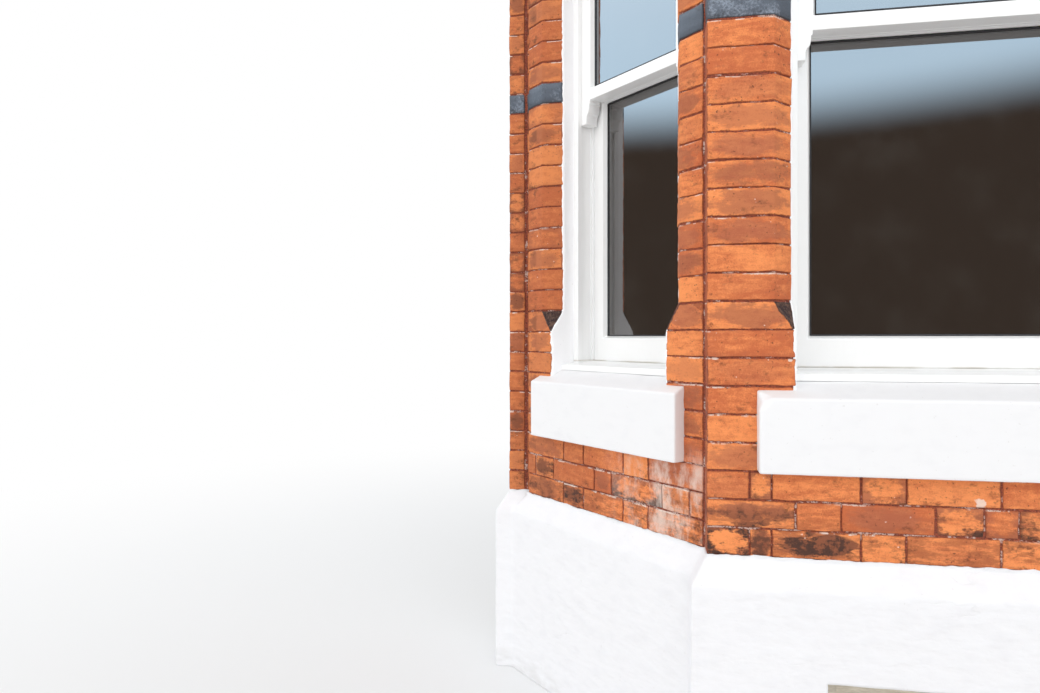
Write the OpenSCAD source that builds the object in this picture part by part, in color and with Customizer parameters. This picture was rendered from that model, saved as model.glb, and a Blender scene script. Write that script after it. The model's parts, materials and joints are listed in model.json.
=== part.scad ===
// Single-storey canted bay window in brick, with stone sills, sash windows and a slated roof.
// Origin: on the ground, in the middle of the box round the whole bay.
// X runs to the right along the house wall, Y into the house, Z up. Millimetres.

/* [Plan] */
// Width of the front face between its square ends
front_w = 1559; // [1300:1:1900]
// Length of each canted face
cant_len = 912; // [880:1:1100]
// How far the front face stands from the house wall
bay_depth = 906; // [880:1:1000]
// Width of the whole bay over its brickwork
bay_w = 3017; // [2980:1:3200]
// How far the square end of a face stands past the next face
nib = 41.5; // [30:0.5:50]
// Thickness of the walls, brick and plaster
wall_t = 245; // [230:5:280]

/* [Courses] */
// Height of one brick course with its joint
course = 82; // [78:1:86]
// Height of the painted plinth
plinth_h = 711; // [600:1:800]
// Brick courses between the plinth and the sills
apron_courses = 3; // [2:1:4]
// Courses that a stone sill is tall
sill_courses = 3; // [2:1:3]
// Square courses above the sill, below the chamfer stop
square_courses = 2; // [1:1:4]
// Courses from the chamfer stop to the blue course
stop_to_blue = 10; // [8:1:12]
// Courses from the sill to the head of the windows
window_courses = 26; // [24:1:28]

/* [Plinth] */
// How far the plinth stands out from the brickwork
plinth_out = 50; // [30:1:60]
// Height of the splay on top of the plinth
splay_h = 76; // [50:1:90]
// Width of the cellar light in the front of the plinth
cellar_w = 918; // [600:1:1000]
// Height of the head of the cellar light above the ground
cellar_head = 385; // [300:1:450]
// Height of the foot of the cellar light above the ground
cellar_foot = 82; // [60:1:120]

/* [Openings] */
// Half the width of the front window opening
front_half = 533.5; // [480:0.5:560]
// Half the width of a side window opening
side_half = 300; // [270:0.5:320]
// Size of the chamfer on the window jambs
chamfer = 56; // [40:1:60]
// Depth of the brick reveal in front of the window frame
reveal = 112; // [100:1:120]
// Depth of the flat arches behind the brick face
arch_d = 112; // [100:1:112]
// Side step of the sloping ends of the flat arches
arch_skew = 60; // [40:1:80]

/* [Sills] */
// How far the sills stand out from the brickwork
sill_out = 44; // [30:1:60]
// How far the front sill runs past its opening
front_sill_lap = 105; // [60:1:120]
// How far a side sill runs past its opening
side_sill_lap = 75; // [50:1:90]
// Depth of the sills into the wall
sill_tail = 180; // [150:5:200]

/* [Sash windows] */
// Part of the frame that shows inside the brick reveal
lining_show = 30; // [20:1:40]
// Part of the frame that is hidden behind the brick
lining_hide = 55; // [40:1:60]
// Thickness of a sash
sash_t = 57; // [50:1:58]
// Distance from the brick reveal to the edge of the glass
glass_in = 88; // [80:1:95]
// Height of the meeting rails
meeting_h = 53; // [45:1:60]
// Height of the bottom rail of the lower sash
foot_rail_h = 99; // [85:1:110]
// Length of the horns below the meeting rail
horn_len = 90; // [70:1:100]

/* [Cornice and roof] */
// Courses of the flat arch
arch_courses = 3; // [3:1:4]
// Plain courses between the flat arch and the string course
above_arch = 2; // [1:1:3]
// Height of the string course
string_h = 120; // [100:1:130]
// Brick courses between the string course and the cornice
frieze_courses = 2; // [2:1:3]
// Height of the cornice
cornice_h = 280; // [240:1:300]
// How far the cornice stands out
cornice_out = 168; // [150:1:180]
// Rise of the roof for each millimetre of run
roof_slope = 0.466; // [0.4:0.001:0.6]
// Thickness of the roof covering and boards
roof_t = 60; // [50:1:80]

/* [Hidden] */

// Colours of the finishes
brick_red = [0.76, 0.36, 0.20];
blue_brick = [0.24, 0.25, 0.30];
stone_paint = [0.93, 0.93, 0.94];
timber_paint = [0.95, 0.95, 0.95];
slate_grey = [0.28, 0.30, 0.33];
lead_grey = [0.48, 0.50, 0.53];
plaster = [0.90, 0.88, 0.84];
pane = [0.62, 0.72, 0.78, 0.5];
old_board = [0.62, 0.58, 0.52];

// Heights
apron_top = plinth_h + apron_courses * course;
sill_top = apron_top + sill_courses * course;
stop_foot = sill_top + square_courses * course;
stop_head = stop_foot + course;
blue_foot = stop_head + stop_to_blue * course;
blue_head = blue_foot + course;
head_z = sill_top + window_courses * course;
arch_top = head_z + arch_courses * course;
string_z = arch_top + above_arch * course;
frieze_z = string_z + string_h;
cornice_z = frieze_z + frieze_courses * course;
roof_z = cornice_z + cornice_h;

// Plane of the house wall, and of the front brick face
wall_y = (bay_depth + cornice_out) / 2;
front_y = wall_y - bay_depth;

// Plan of the left half
half_front = front_w / 2;
half_bay = bay_w / 2;
diag = sqrt(2);
cant_dir = [-1, 1] / diag;
cant_in = [1, 1] / diag;
cant_foot = [-half_front, front_y + nib * diag];
cant_end = cant_foot + cant_len * cant_dir;
cant_mid = (cant_foot + cant_end) / 2;
strip_y = cant_end[1] + nib;
inner_y = front_y + wall_t;
inner_sum = cant_end[0] + cant_end[1] + wall_t * diag;
inner_corner = [inner_sum - inner_y, inner_y];
strip_back = cant_end + wall_t * cant_in;
strip_inner = inner_sum - wall_y;
left_plan = [
    [-half_front, front_y], cant_foot, cant_end, [cant_end[0] + nib, strip_y], [-half_bay, strip_y],
    [-half_bay, wall_y], [strip_inner, wall_y], inner_corner
];
wall_plan = concat(left_plan, [for (i = [len(left_plan) - 1 : -1 : 0]) [-left_plan[i][0], left_plan[i][1]]]);

// Sill and window levels
sill_nose_drop = 31;
sill_face_drop = 10;
cill_nose = 50;
seat_z = sill_top + 13;
cill_z = seat_z + 34;
meeting_z = 2272;
frame_back = reveal + 163;
lining_t = 20;
bead_t = 12;
upper_y = reveal + lining_t;
parting_y = upper_y + sash_t;
lower_y = parting_y + 10;
glass_set = 21;
glass_t = 24;
far = 2000;

// A convex plan at z0 joined to another with as many points at z1
module frustum(low, high, z0, z1) {
    n = len(low);
    points = concat([for (p = low) [p[0], p[1], z0]], [for (p = high) [p[0], p[1], z1]]);
    sides = [for (i = [0 : n - 1]) [i, n + i, n + (i + 1) % n, (i + 1) % n]];
    polyhedron(points, concat([[for (i = [0 : n - 1]) i]], [[for (i = [0 : n - 1]) 2 * n - 1 - i]], sides));
}

module prism(outline, z0, z1) {
    translate([0, 0, z0]) linear_extrude(z1 - z0) polygon(outline);
}

// Extrudes a (y, z) outline to both sides of x = 0, or an (x, z) outline to both sides of y = 0
module along_x(half) {
    rotate([90, 0, 90]) translate([0, 0, -half]) linear_extrude(2 * half) children();
}
module along_y(half) {
    rotate([90, 0, 0]) translate([0, 0, -half]) linear_extrude(2 * half) children();
}

// Places for what belongs to one face: y = 0 is the brick face, x = 0 the middle of the opening
module at_front() { translate([0, front_y, 0]) children(); }
module at_left() { translate([cant_mid[0], cant_mid[1], 0]) rotate([0, 0, -45]) children(); }
module at_right() { mirror([1, 0, 0]) at_left() children(); }

// Outline of a moulding: its [offset, height] profile stands out from face, its back is flat
function section(profile, face, back) = concat(
    [for (p = profile) [face - p[0], p[1]]],
    [[back, profile[len(profile) - 1][1]], [back, profile[0][1]]]
);

// A moulding across the front that returns round both square ends
module front_moulding(profile) {
    n = len(profile);
    at_front() intersection() {
        along_x(far) polygon(section(profile, 0, wall_t));
        along_y(far) polygon(concat(
            [for (p = profile) [-half_front - p[0], p[1]]],
            [for (i = [1 : n]) [half_front + profile[n - i][0], profile[n - i][1]]]
        ));
    }
}

// The same moulding along the left side and the strip beside it, up to the house wall
module side_moulding(profile) {
    first = profile[0];
    last = profile[len(profile) - 1];
    z0 = first[1];
    z1 = last[1];
    difference() {
        union() {
            intersection() {
                at_left() intersection() {
                    along_x(far) polygon(section(profile, 0, wall_t));
                    along_y(far) polygon(section(profile, -cant_len / 2, cant_len / 2));
                }
                translate([-far, wall_y - far, 0]) cube([far, far, 6000]);
            }
            intersection() {
                along_x(far) polygon(section(profile, strip_y, wall_y));
                along_y(far) polygon(section(profile, -half_bay, strip_inner));
            }
            prism([
                strip_back, [strip_inner, wall_y], [strip_inner - 60, wall_y], strip_back - 80 * cant_in
            ], z0, z1);
        }
        front_moulding(concat([first - [0, 1]], profile, [last + [0, 1]]));
    }
}

// Plan regions that part the front from the sides
far_corner = cant_foot + 700 * [-1, -(diag - 1)];
module front_region() {
    linear_extrude(6000) polygon([
        inner_corner, cant_foot, far_corner, [far_corner[0], -far],
        [-far_corner[0], -far], [-far_corner[0], far_corner[1]],
        [-cant_foot[0], cant_foot[1]], [-inner_corner[0], inner_corner[1]]
    ]);
}
module left_region() {
    linear_extrude(6000) polygon([
        inner_corner, cant_foot, far_corner, [-far, far_corner[1]], [-far, wall_y], [inner_corner[0], wall_y]
    ]);
}
module part_front() { intersection() { children(); front_region(); } }
module part_left() { intersection() { children(); left_region(); } }
module part_right() { intersection() { children(); mirror([1, 0, 0]) left_region(); } }

// Plinth, splayed back to the brickwork on top
plinth_profile = [[plinth_out, 0], [plinth_out, plinth_h - splay_h], [0, plinth_h]];
module plinth_left() { color(stone_paint) side_moulding(plinth_profile); }
module plinth_right() { color(stone_paint) mirror([1, 0, 0]) side_moulding(plinth_profile); }
module plinth_front() {
    color(stone_paint) difference() {
        front_moulding(plinth_profile);
        at_front() translate([-cellar_w / 2, -100, cellar_foot])
            cube([cellar_w, wall_t + 200, cellar_head - cellar_foot]);
    }
}

// Boarded cellar light in its frame, set back in the plinth
module cellar_light() {
    frame_w = 46;
    color(old_board) at_front() translate([-cellar_w / 2, 40, cellar_foot]) difference() {
        cube([cellar_w, 60, cellar_head - cellar_foot]);
        translate([frame_w, -1, frame_w])
            cube([cellar_w - 2 * frame_w, 26, cellar_head - cellar_foot - 2 * frame_w]);
    }
}

// Stone sill with a weathered top, in the place of one window
module sill_body(half, lap) {
    front_section = [
        [-sill_out, apron_top], [-sill_out, sill_top - sill_nose_drop], [cill_nose, seat_z],
        [sill_tail, seat_z], [sill_tail, apron_top]
    ];
    end_section = [
        [-sill_out, apron_top], [-sill_out, sill_top - sill_nose_drop], [0, sill_top - sill_face_drop],
        [sill_tail, sill_top - sill_face_drop], [sill_tail, apron_top]
    ];
    along_x(half) polygon(front_section);
    along_x(half + lap) polygon(end_section);
}
module sill_left() { color(stone_paint) at_left() sill_body(side_half, side_sill_lap); }
module sill_front() { color(stone_paint) at_front() sill_body(front_half, front_sill_lap); }
module sill_right() { color(stone_paint) at_right() sill_body(side_half, side_sill_lap); }

// Chamfer on both jambs of an opening, with a pyramid stop at foot and head
module jamb_chamfers(half) {
    function corner(c) = [[half - 1, -1], [half + c + 1, -1], [half - 1, c + 1]];
    for (side = [0, 1]) mirror([side, 0, 0]) {
        frustum(corner(0), corner(chamfer), stop_foot, stop_head);
        prism(corner(chamfer), stop_head, head_z - course);
        frustum(corner(chamfer), corner(0), head_z - course, head_z);
    }
}

// What a window takes out of the wall from the plinth up
module window_void(half) {
    translate([-half, -100, plinth_h - 1]) cube([2 * half, wall_t + 200, head_z - plinth_h + 1]);
    translate([-half - lining_hide, reveal, cill_z - 34])
        cube([2 * (half + lining_hide), 300, head_z + lining_hide - cill_z + 34]);
    jamb_chamfers(half);
}
module window_voids() {
    at_front() { window_void(front_half); sill_body(front_half, front_sill_lap); }
    at_left() { window_void(side_half); sill_body(side_half, side_sill_lap); }
    at_right() { window_void(side_half); sill_body(side_half, side_sill_lap); }
}

// Piers between the windows
module pier_mass(z0, z1) {
    difference() {
        prism(wall_plan, z0, z1);
        window_voids();
    }
}
module between(x0, x1) { translate([x0, -far, 0]) cube([x1 - x0, 2 * far, 6000]); }
module pier_pick(side, outer, z0, z1) {
    mirror([side, 0, 0]) intersection() {
        pier_mass(z0, z1);
        between(outer ? -far : cant_mid[0], outer ? cant_mid[0] : 0);
    }
}
module pier(side, outer) {
    color(brick_red) {
        pier_pick(side, outer, plinth_h, blue_foot);
        pier_pick(side, outer, blue_head, head_z);
    }
}
module wall_pier_left() { pier(0, true); }
module corner_pier_left() { pier(0, false); }
module corner_pier_right() { pier(1, false); }
module wall_pier_right() { pier(1, true); }
module blue_course(side) {
    color(blue_brick) {
        pier_pick(side, true, blue_foot, blue_head);
        pier_pick(side, false, blue_foot, blue_head);
    }
}
module blue_course_left() { blue_course(0); }
module blue_course_right() { blue_course(1); }

// Brick apron under a sill, with the inner leaf behind the stone
module apron_body(half) {
    color(brick_red) {
        translate([-half, 0, plinth_h]) cube([2 * half, wall_t, apron_top - plinth_h]);
        translate([-half, sill_tail, plinth_h]) cube([2 * half, wall_t - sill_tail, seat_z - plinth_h]);
    }
}
module apron_left() { at_left() apron_body(side_half); }
module apron_front() { at_front() apron_body(front_half); }
module apron_right() { at_right() apron_body(side_half); }

// Flat brick arch over an opening; a cutter of its shape runs on past the brick face
module arch_body(half, past = 0) {
    rise = arch_top - head_z;
    translate([0, arch_d, head_z]) rotate([90, 0, 0]) linear_extrude(arch_d + past)
        polygon([[-half, 0], [half, 0], [half + arch_skew, rise], [-half - arch_skew, rise]]);
}
module arch_left() { color(brick_red) at_left() arch_body(side_half); }
module arch_front() { color(brick_red) at_front() arch_body(front_half); }
module arch_right() { color(brick_red) at_right() arch_body(side_half); }

// Wall over the windows, below and above the string course
module upper_mass() {
    difference() {
        union() {
            prism(wall_plan, head_z, string_z);
            prism(wall_plan, frieze_z, cornice_z);
        }
        at_front() arch_body(front_half, past = 20);
        at_left() arch_body(side_half, past = 20);
        at_right() arch_body(side_half, past = 20);
        window_voids();
    }
}
module upper_wall_left() { color(brick_red) part_left() upper_mass(); }
module upper_wall_front() { color(brick_red) part_front() upper_mass(); }
module upper_wall_right() { color(brick_red) part_right() upper_mass(); }

// Points of a quarter curve from a to b; hollow curves bend the other way
function quarter(a, b, steps, hollow) = [
    for (i = [0 : steps])
        let (t = 90 * i / steps)
        hollow ? [a[0] + (b[0] - a[0]) * (1 - cos(t)), a[1] + (b[1] - a[1]) * sin(t)]
               : [a[0] + (b[0] - a[0]) * sin(t), a[1] + (b[1] - a[1]) * (1 - cos(t))]
];

// Painted string course
string_profile = concat(
    [[14, string_z], [14, string_z + 16]],
    quarter([14, string_z + 16], [44, string_z + 54], 5, false),
    [[50, string_z + 54], [50, string_z + 84], [0, string_z + string_h]]
);
module string_course() {
    color(stone_paint) {
        front_moulding(string_profile);
        for (side = [0, 1]) mirror([side, 0, 0]) side_moulding(string_profile);
    }
}

// Painted cornice: bed mould, flat corona and a wave above it
corona = cornice_out - 46;
wave_z = cornice_z + 156;
cornice_profile = concat(
    [[18, cornice_z], [18, cornice_z + 22]],
    quarter([18, cornice_z + 22], [62, cornice_z + 72], 5, false),
    [[62, cornice_z + 84], [corona, cornice_z + 84], [corona, wave_z - 12], [corona + 8, wave_z - 12],
     [corona + 8, wave_z]],
    quarter([corona + 8, wave_z], [(corona + 8 + cornice_out) / 2, wave_z + 50], 4, true),
    quarter([(corona + 8 + cornice_out) / 2, wave_z + 50], [cornice_out, wave_z + 96], 4, false),
    [[cornice_out, roof_z - 8], [cornice_out - 40, roof_z]]
);
module cornice_left() { color(stone_paint) side_moulding(cornice_profile); }
module cornice_front() { color(stone_paint) front_moulding(cornice_profile); }
module cornice_right() { color(stone_paint) mirror([1, 0, 0]) side_moulding(cornice_profile); }

// Roof slopes: section across one slope, measured from the brick face
roof_out = cornice_out - 58;
bearing = roof_t / roof_slope;
function roof_section(run) = [
    [-roof_out, roof_z], [-roof_out, roof_z + roof_t],
    [run, roof_z + roof_t + roof_slope * (run + roof_out)],
    [run, roof_z + roof_slope * (run + roof_out)],
    [bearing - roof_out, roof_z]
];
eave_sum = cant_end[0] + cant_end[1] - roof_out * diag;
roof_corner = [eave_sum - front_y + roof_out, front_y - roof_out];
roof_side = half_bay + 60;
hip_top = [roof_corner[0] + (bay_depth + roof_out) * (diag - 1), wall_y];
module roof_front() {
    color(slate_grey) intersection() {
        at_front() along_x(far) polygon(roof_section(bay_depth));
        linear_extrude(6000) polygon([roof_corner, [-roof_corner[0], roof_corner[1]],
            [-hip_top[0], wall_y], hip_top]);
    }
}
module roof_side_slope() {
    intersection() {
        at_left() along_x(far) polygon(roof_section(far));
        linear_extrude(6000) polygon([
            roof_corner, hip_top, [-roof_side, wall_y], [-roof_side, eave_sum + roof_side]
        ]);
    }
}
module roof_left() { color(slate_grey) roof_side_slope(); }
module roof_right() { color(slate_grey) mirror([1, 0, 0]) roof_side_slope(); }

// Lead roll over each hip, its underside cut to the two slopes
hip_r = 26;
hip_foot = [roof_corner[0], roof_corner[1], roof_z + roof_t];
hip_head = [hip_top[0], wall_y, roof_z + roof_t + roof_slope * (bay_depth + roof_out)];
module lead_hips() {
    run = hip_head - hip_foot;
    flat_run = norm([run[0], run[1]]);
    side_fall = roof_slope * cos(67.5) * flat_run / norm(run);
    color(lead_grey) for (side = [0, 1]) mirror([side, 0, 0])
        translate(hip_foot) rotate([0, 0, atan2(run[1], run[0])]) rotate([0, atan2(flat_run, run[2]), 0])
            translate([0, 0, 12]) linear_extrude(norm(run) - 36) difference() {
                translate([-14, 0]) circle(r = hip_r, $fn = 32);
                polygon([[0, 0], [100 * side_fall, 100], [100, 100], [100, -100], [100 * side_fall, -100]]);
            }
}

// Lead upstand where the roof meets the house wall
module lead_flashing() {
    side_z = hip_head[2] - roof_slope * (roof_side + hip_top[0]) / diag;
    up = [0, 150];
    foot = [[-roof_side, side_z], [hip_top[0], hip_head[2]], [-hip_top[0], hip_head[2]], [roof_side, side_z]];
    color(lead_grey) translate([0, wall_y, 0]) rotate([90, 0, 0]) linear_extrude(12)
        polygon(concat(foot, [for (i = [3 : -1 : 0]) foot[i] + up]));
}

// Plaster ceiling inside the bay
module ceiling() {
    color(plaster) prism([
        inner_corner, [-inner_corner[0], inner_corner[1]],
        [wall_y - inner_sum, wall_y], [inner_sum - wall_y, wall_y]
    ], 3450, 3475);
}

// Box frame of a sash window with its timber cill
module frame_body(half) {
    show = lining_show;
    hide = lining_hide;
    stile = show - bead_t;
    jamb = [
        [-show, reveal], [hide, reveal], [hide, frame_back], [-show, frame_back],
        [-show, frame_back - 17], [-stile, frame_back - 17], [-stile, lower_y], [-show, lower_y],
        [-show, parting_y], [-stile, parting_y], [-stile, upper_y], [-show, upper_y]
    ];
    color(timber_paint) {
        for (side = [0, 1]) mirror([side, 0, 0])
            translate([half, 0, seat_z]) linear_extrude(head_z + hide - seat_z) polygon(jamb);
        translate([0, 0, head_z]) rotate([90, 0, 90]) translate([0, 0, -half - hide])
            linear_extrude(2 * (half + hide)) polygon([for (p = jamb) [p[1], p[0]]]);
        along_x(half) polygon([[cill_nose, seat_z], [cill_nose, seat_z + 22], [lower_y, cill_z],
            [frame_back, cill_z], [frame_back, seat_z]]);
    }
}
module frame_left() { at_left() frame_body(side_half); }
module frame_front() { at_front() frame_body(front_half); }
module frame_right() { at_right() frame_body(side_half); }

// Sash: a frame round a pane, its outer edge splayed down to the glass
module sash(half, y, z0, z1, low_rail, high_rail) {
    edge = half - lining_show + bead_t - 2;
    pane_half = half - glass_in;
    splay = 10;
    low = z0 + low_rail;
    high = z1 - high_rail;
    difference() {
        translate([-edge, y, z0]) cube([2 * edge, sash_t, z1 - z0]);
        translate([-pane_half, y - 1, low]) cube([2 * pane_half, sash_t + 2, high - low]);
        translate([0, y, 0]) rotate([-90, 0, 0]) frustum(
            [[-pane_half - splay, -high - splay], [pane_half + splay, -high - splay],
             [pane_half + splay, -low + splay], [-pane_half - splay, -low + splay]],
            [[-pane_half, -high], [pane_half, -high], [pane_half, -low], [-pane_half, -low]],
            -0.01, glass_set);
    }
}
// Horn under one end of the meeting rail, seen from the front
module horn(half) {
    edge = half - lining_show + bead_t - 2;
    inner = half - glass_in + 10;
    outline = concat(
        [[edge, 0], [inner, 0], [inner, -14], [inner + 5, -16]],
        [for (t = [0 : 15 : 90]) [inner + 5 + 7 * (1 - cos(t)), -16 - 34 * sin(t)]],
        [for (t = [15 : 15 : 90]) [inner + 12 + 9 * sin(t), -50 - (horn_len - 56) * (1 - cos(t))]],
        [[inner + 21, -horn_len], [edge, -horn_len]]
    );
    translate([0, parting_y, meeting_z]) rotate([90, 0, 0]) linear_extrude(sash_t) polygon(outline);
}
module upper_sash(half) {
    color(timber_paint) {
        sash(half, upper_y, meeting_z, head_z - lining_show + bead_t, meeting_h, glass_in - lining_show + bead_t);
        for (side = [0, 1]) mirror([side, 0, 0]) horn(half);
    }
}
module lower_sash(half) {
    color(timber_paint) {
        sash(half, lower_y, cill_z, meeting_z + meeting_h, foot_rail_h, meeting_h);
        translate([-half + lining_show + 1, parting_y, meeting_z])
            cube([2 * (half - lining_show - 1), 11, meeting_h]);
    }
}
module upper_sash_left() { at_left() upper_sash(side_half); }
module upper_sash_front() { at_front() upper_sash(front_half); }
module upper_sash_right() { at_right() upper_sash(side_half); }
module lower_sash_left() { at_left() lower_sash(side_half); }
module lower_sash_front() { at_front() lower_sash(front_half); }
module lower_sash_right() { at_right() lower_sash(side_half); }

// Both double-glazed units of a window
module panes(half) {
    w = 2 * (half - glass_in);
    upper_foot = meeting_z + meeting_h;
    upper_head = head_z - glass_in;
    lower_foot = cill_z + foot_rail_h;
    color(pane) {
        translate([-w / 2, upper_y + glass_set, upper_foot]) cube([w, glass_t, upper_head - upper_foot]);
        translate([-w / 2, lower_y + glass_set, lower_foot]) cube([w, glass_t, meeting_z - lower_foot]);
    }
}
module glass_left() { at_left() panes(side_half); }
module glass_front() { at_front() panes(front_half); }
module glass_right() { at_right() panes(side_half); }

// Window boards inside, against the back of each frame
module board(half) {
    translate([-half - lining_hide, frame_back, cill_z - 24]) cube([2 * (half + lining_hide), 70, 24]);
}
module window_boards() {
    color(timber_paint) {
        at_front() board(front_half - 60);
        at_left() board(side_half - 60);
        at_right() board(side_half - 60);
    }
}

plinth_left();
plinth_front();
plinth_right();
cellar_light();
apron_left();
apron_front();
apron_right();
sill_left();
sill_front();
sill_right();
wall_pier_left();
corner_pier_left();
corner_pier_right();
wall_pier_right();
blue_course_left();
blue_course_right();
arch_left();
arch_front();
arch_right();
upper_wall_left();
upper_wall_front();
upper_wall_right();
string_course();
cornice_left();
cornice_front();
cornice_right();
roof_left();
roof_front();
roof_right();
lead_hips();
lead_flashing();
ceiling();
frame_left();
frame_front();
frame_right();
upper_sash_left();
upper_sash_front();
upper_sash_right();
lower_sash_left();
lower_sash_front();
lower_sash_right();
glass_left();
glass_front();
glass_right();
window_boards();
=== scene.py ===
"""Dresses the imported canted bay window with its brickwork, paint, joinery and roof, in a plain studio."""

import json
import logging
import math
import random
from dataclasses import dataclass, field
from enum import Enum

import bmesh
import bpy
import numpy as np
from mathutils import Matrix, Vector

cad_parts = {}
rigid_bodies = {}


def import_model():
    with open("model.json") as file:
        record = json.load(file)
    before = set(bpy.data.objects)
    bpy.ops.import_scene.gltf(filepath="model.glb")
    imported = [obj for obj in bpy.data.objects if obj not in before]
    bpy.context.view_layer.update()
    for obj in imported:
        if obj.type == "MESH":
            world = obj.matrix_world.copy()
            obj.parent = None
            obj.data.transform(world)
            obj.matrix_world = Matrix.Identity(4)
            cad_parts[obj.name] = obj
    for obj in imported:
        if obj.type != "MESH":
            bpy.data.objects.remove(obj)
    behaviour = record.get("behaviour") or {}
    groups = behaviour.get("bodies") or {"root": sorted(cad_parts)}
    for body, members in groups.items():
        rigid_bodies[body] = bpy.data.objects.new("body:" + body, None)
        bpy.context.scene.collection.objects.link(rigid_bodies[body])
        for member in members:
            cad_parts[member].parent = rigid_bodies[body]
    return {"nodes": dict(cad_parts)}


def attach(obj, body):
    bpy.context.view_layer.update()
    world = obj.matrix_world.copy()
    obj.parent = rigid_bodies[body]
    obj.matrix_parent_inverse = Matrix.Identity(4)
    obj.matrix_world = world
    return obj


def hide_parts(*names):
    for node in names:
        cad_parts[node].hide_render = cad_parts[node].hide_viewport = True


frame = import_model()
LOG = logging.getLogger("bay_window")

Colour = tuple[float, float, float, float]
Point = tuple[float, float]
Span = tuple[float, float]
Triple = tuple[float, float, float]

WHITE: Colour = (1.0, 1.0, 1.0, 1.0)


def srgb(red: float, green: float, blue: float) -> Colour:
    """Gives the linear colour of three screen values from 0 to 255."""
    def linear(value: float) -> float:
        """Turns one screen value into a linear one."""
        part = value / 255
        return part / 12.92 if part <= 0.04045 else ((part + 0.055) / 1.055) ** 2.4
    return (linear(red), linear(green), linear(blue), 1.0)


# Node trees


class Graph:
    """Builds the nodes of one shader or geometry tree."""

    def __init__(self, tree: bpy.types.NodeTree) -> None:
        """Keeps the tree that the nodes go into."""
        self.tree = tree

    def node(self, kind: str, settings: dict | None = None, inputs: dict | None = None) -> bpy.types.Node:
        """Adds a node.

        Args:
            kind: The node's type.
            settings: Its properties, set first.
            inputs: Values or terms for its input sockets, by name or number.

        Returns:
            The new node.
        """
        made = self.tree.nodes.new(kind)
        for name, value in (settings or {}).items():
            setattr(made, name, value)
        for key, value in (inputs or {}).items():
            if isinstance(value, Term):
                self.tree.links.new(value.socket, made.inputs[key])
            else:
                made.inputs[key].default_value = value
        return made

    def term(self, kind: str, settings: dict | None = None, inputs: dict | None = None,
             output: int | str = 0) -> "Term":
        """Adds a node and gives one of its outputs as a term."""
        return Term(self, self.node(kind, settings, inputs).outputs[output])

    def place(self) -> "Term":
        """Gives the object coordinates, which are metres in the bay's own frame."""
        return self.term("ShaderNodeTexCoord", output="Object")

    def split(self, vector: "Term") -> tuple["Term", "Term", "Term"]:
        """Gives the three numbers of a vector."""
        made = self.node("ShaderNodeSeparateXYZ", inputs={0: vector})
        return tuple(Term(self, made.outputs[i]) for i in range(3))

    def combine(self, x: "Term | float" = 0.0, y: "Term | float" = 0.0, z: "Term | float" = 0.0) -> "Term":
        """Gives the vector of three numbers."""
        return self.term("ShaderNodeCombineXYZ", None, {0: x, 1: y, 2: z})

    def vector(self, operation: str, first: "Term", second: "Term | Triple" = (0.0, 0.0, 0.0),
               output: int | str = 0) -> "Term":
        """Adds one Vector Math node."""
        return self.term("ShaderNodeVectorMath", {"operation": operation}, {0: first, 1: second}, output)

    def scaled(self, vector: "Term", by: "Term | float") -> "Term":
        """Multiplies a vector by one number."""
        return self.term("ShaderNodeVectorMath", {"operation": "SCALE"}, {0: vector, "Scale": by})

    def noise(self, at: "Term", scale: "Term | float", detail: float = 3.0, rough: float = 0.5,
              drawn: Triple | None = None, output: int | str = 0) -> "Term":
        """Adds soft noise, from about 0.25 to 0.75.

        Args:
            at: Where it is read.
            scale: Its bumps a metre.
            detail: How many finer layers it has.
            rough: How strong they are.
            drawn: Factors for x, y and z; the bumps get shorter along an axis with a larger one.
            output: The node's output, a number or "Color".

        Returns:
            The noise.
        """
        spot = self.vector("MULTIPLY", at, drawn) if drawn else at
        return self.term("ShaderNodeTexNoise", None,
                         {"Vector": spot, "Scale": scale, "Detail": detail, "Roughness": rough}, output)

    def attribute(self, name: str) -> "Term":
        """Gives a number that the mesh carries under that name."""
        return self.term("ShaderNodeAttribute", {"attribute_name": name}, output="Fac")

    def mix(self, share: "Term | float", low: "Term | Colour", high: "Term | Colour") -> "Term":
        """Gives the colour between low and high."""
        return self.term("ShaderNodeMix", {"data_type": "RGBA"}, {0: share, 6: low, 7: high}, output=2)

    def bump(self, height: "Term", distance: float, strength: float) -> "Term":
        """Gives a normal for relief that is distance metres deep."""
        return self.term("ShaderNodeBump", None,
                         {"Strength": strength, "Distance": distance, "Height": height})

    def chance(self, kind: str, low: Triple | float, high: Triple | float, seed: "Term") -> "Term":
        """Gives a random value of that data type for each point or instance."""
        first, output = (0, 0) if kind == "FLOAT_VECTOR" else (2, 1)
        return self.term("FunctionNodeRandomValue", {"data_type": kind},
                         {first: low, first + 1: high, "Seed": seed}, output)

    def shake(self, at: "Term", scale: "Term | float") -> "Term":
        """Adds soft noise as a vector about zero."""
        return self.vector("SUBTRACT", self.noise(at, scale, 2.0, output="Color"), (0.5, 0.5, 0.5))

    def shift(self, shape: "Term", offset: "Term") -> "Term":
        """Moves the points of a shape."""
        return self.term("GeometryNodeSetPosition", None, {"Geometry": shape, "Offset": offset})

    def lay(self, points: "Term", shape: "Term", euler: "Term", pick: dict | None = None) -> "Term":
        """Puts a shape on every point, turned by Euler angles; pick holds the sockets that choose a shape."""
        rotation = self.term("FunctionNodeEulerToRotation", None, {0: euler})
        return self.term("GeometryNodeInstanceOnPoints", None,
                         {"Points": points, "Instance": shape, "Rotation": rotation, **(pick or {})})

    def store(self, shape: "Term", name: str, value: "Term") -> "Term":
        """Writes a number on every instance under a name."""
        return self.term("GeometryNodeStoreNamedAttribute", {"data_type": "FLOAT", "domain": "INSTANCE"},
                         {"Geometry": shape, "Name": name, "Value": value})


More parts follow.
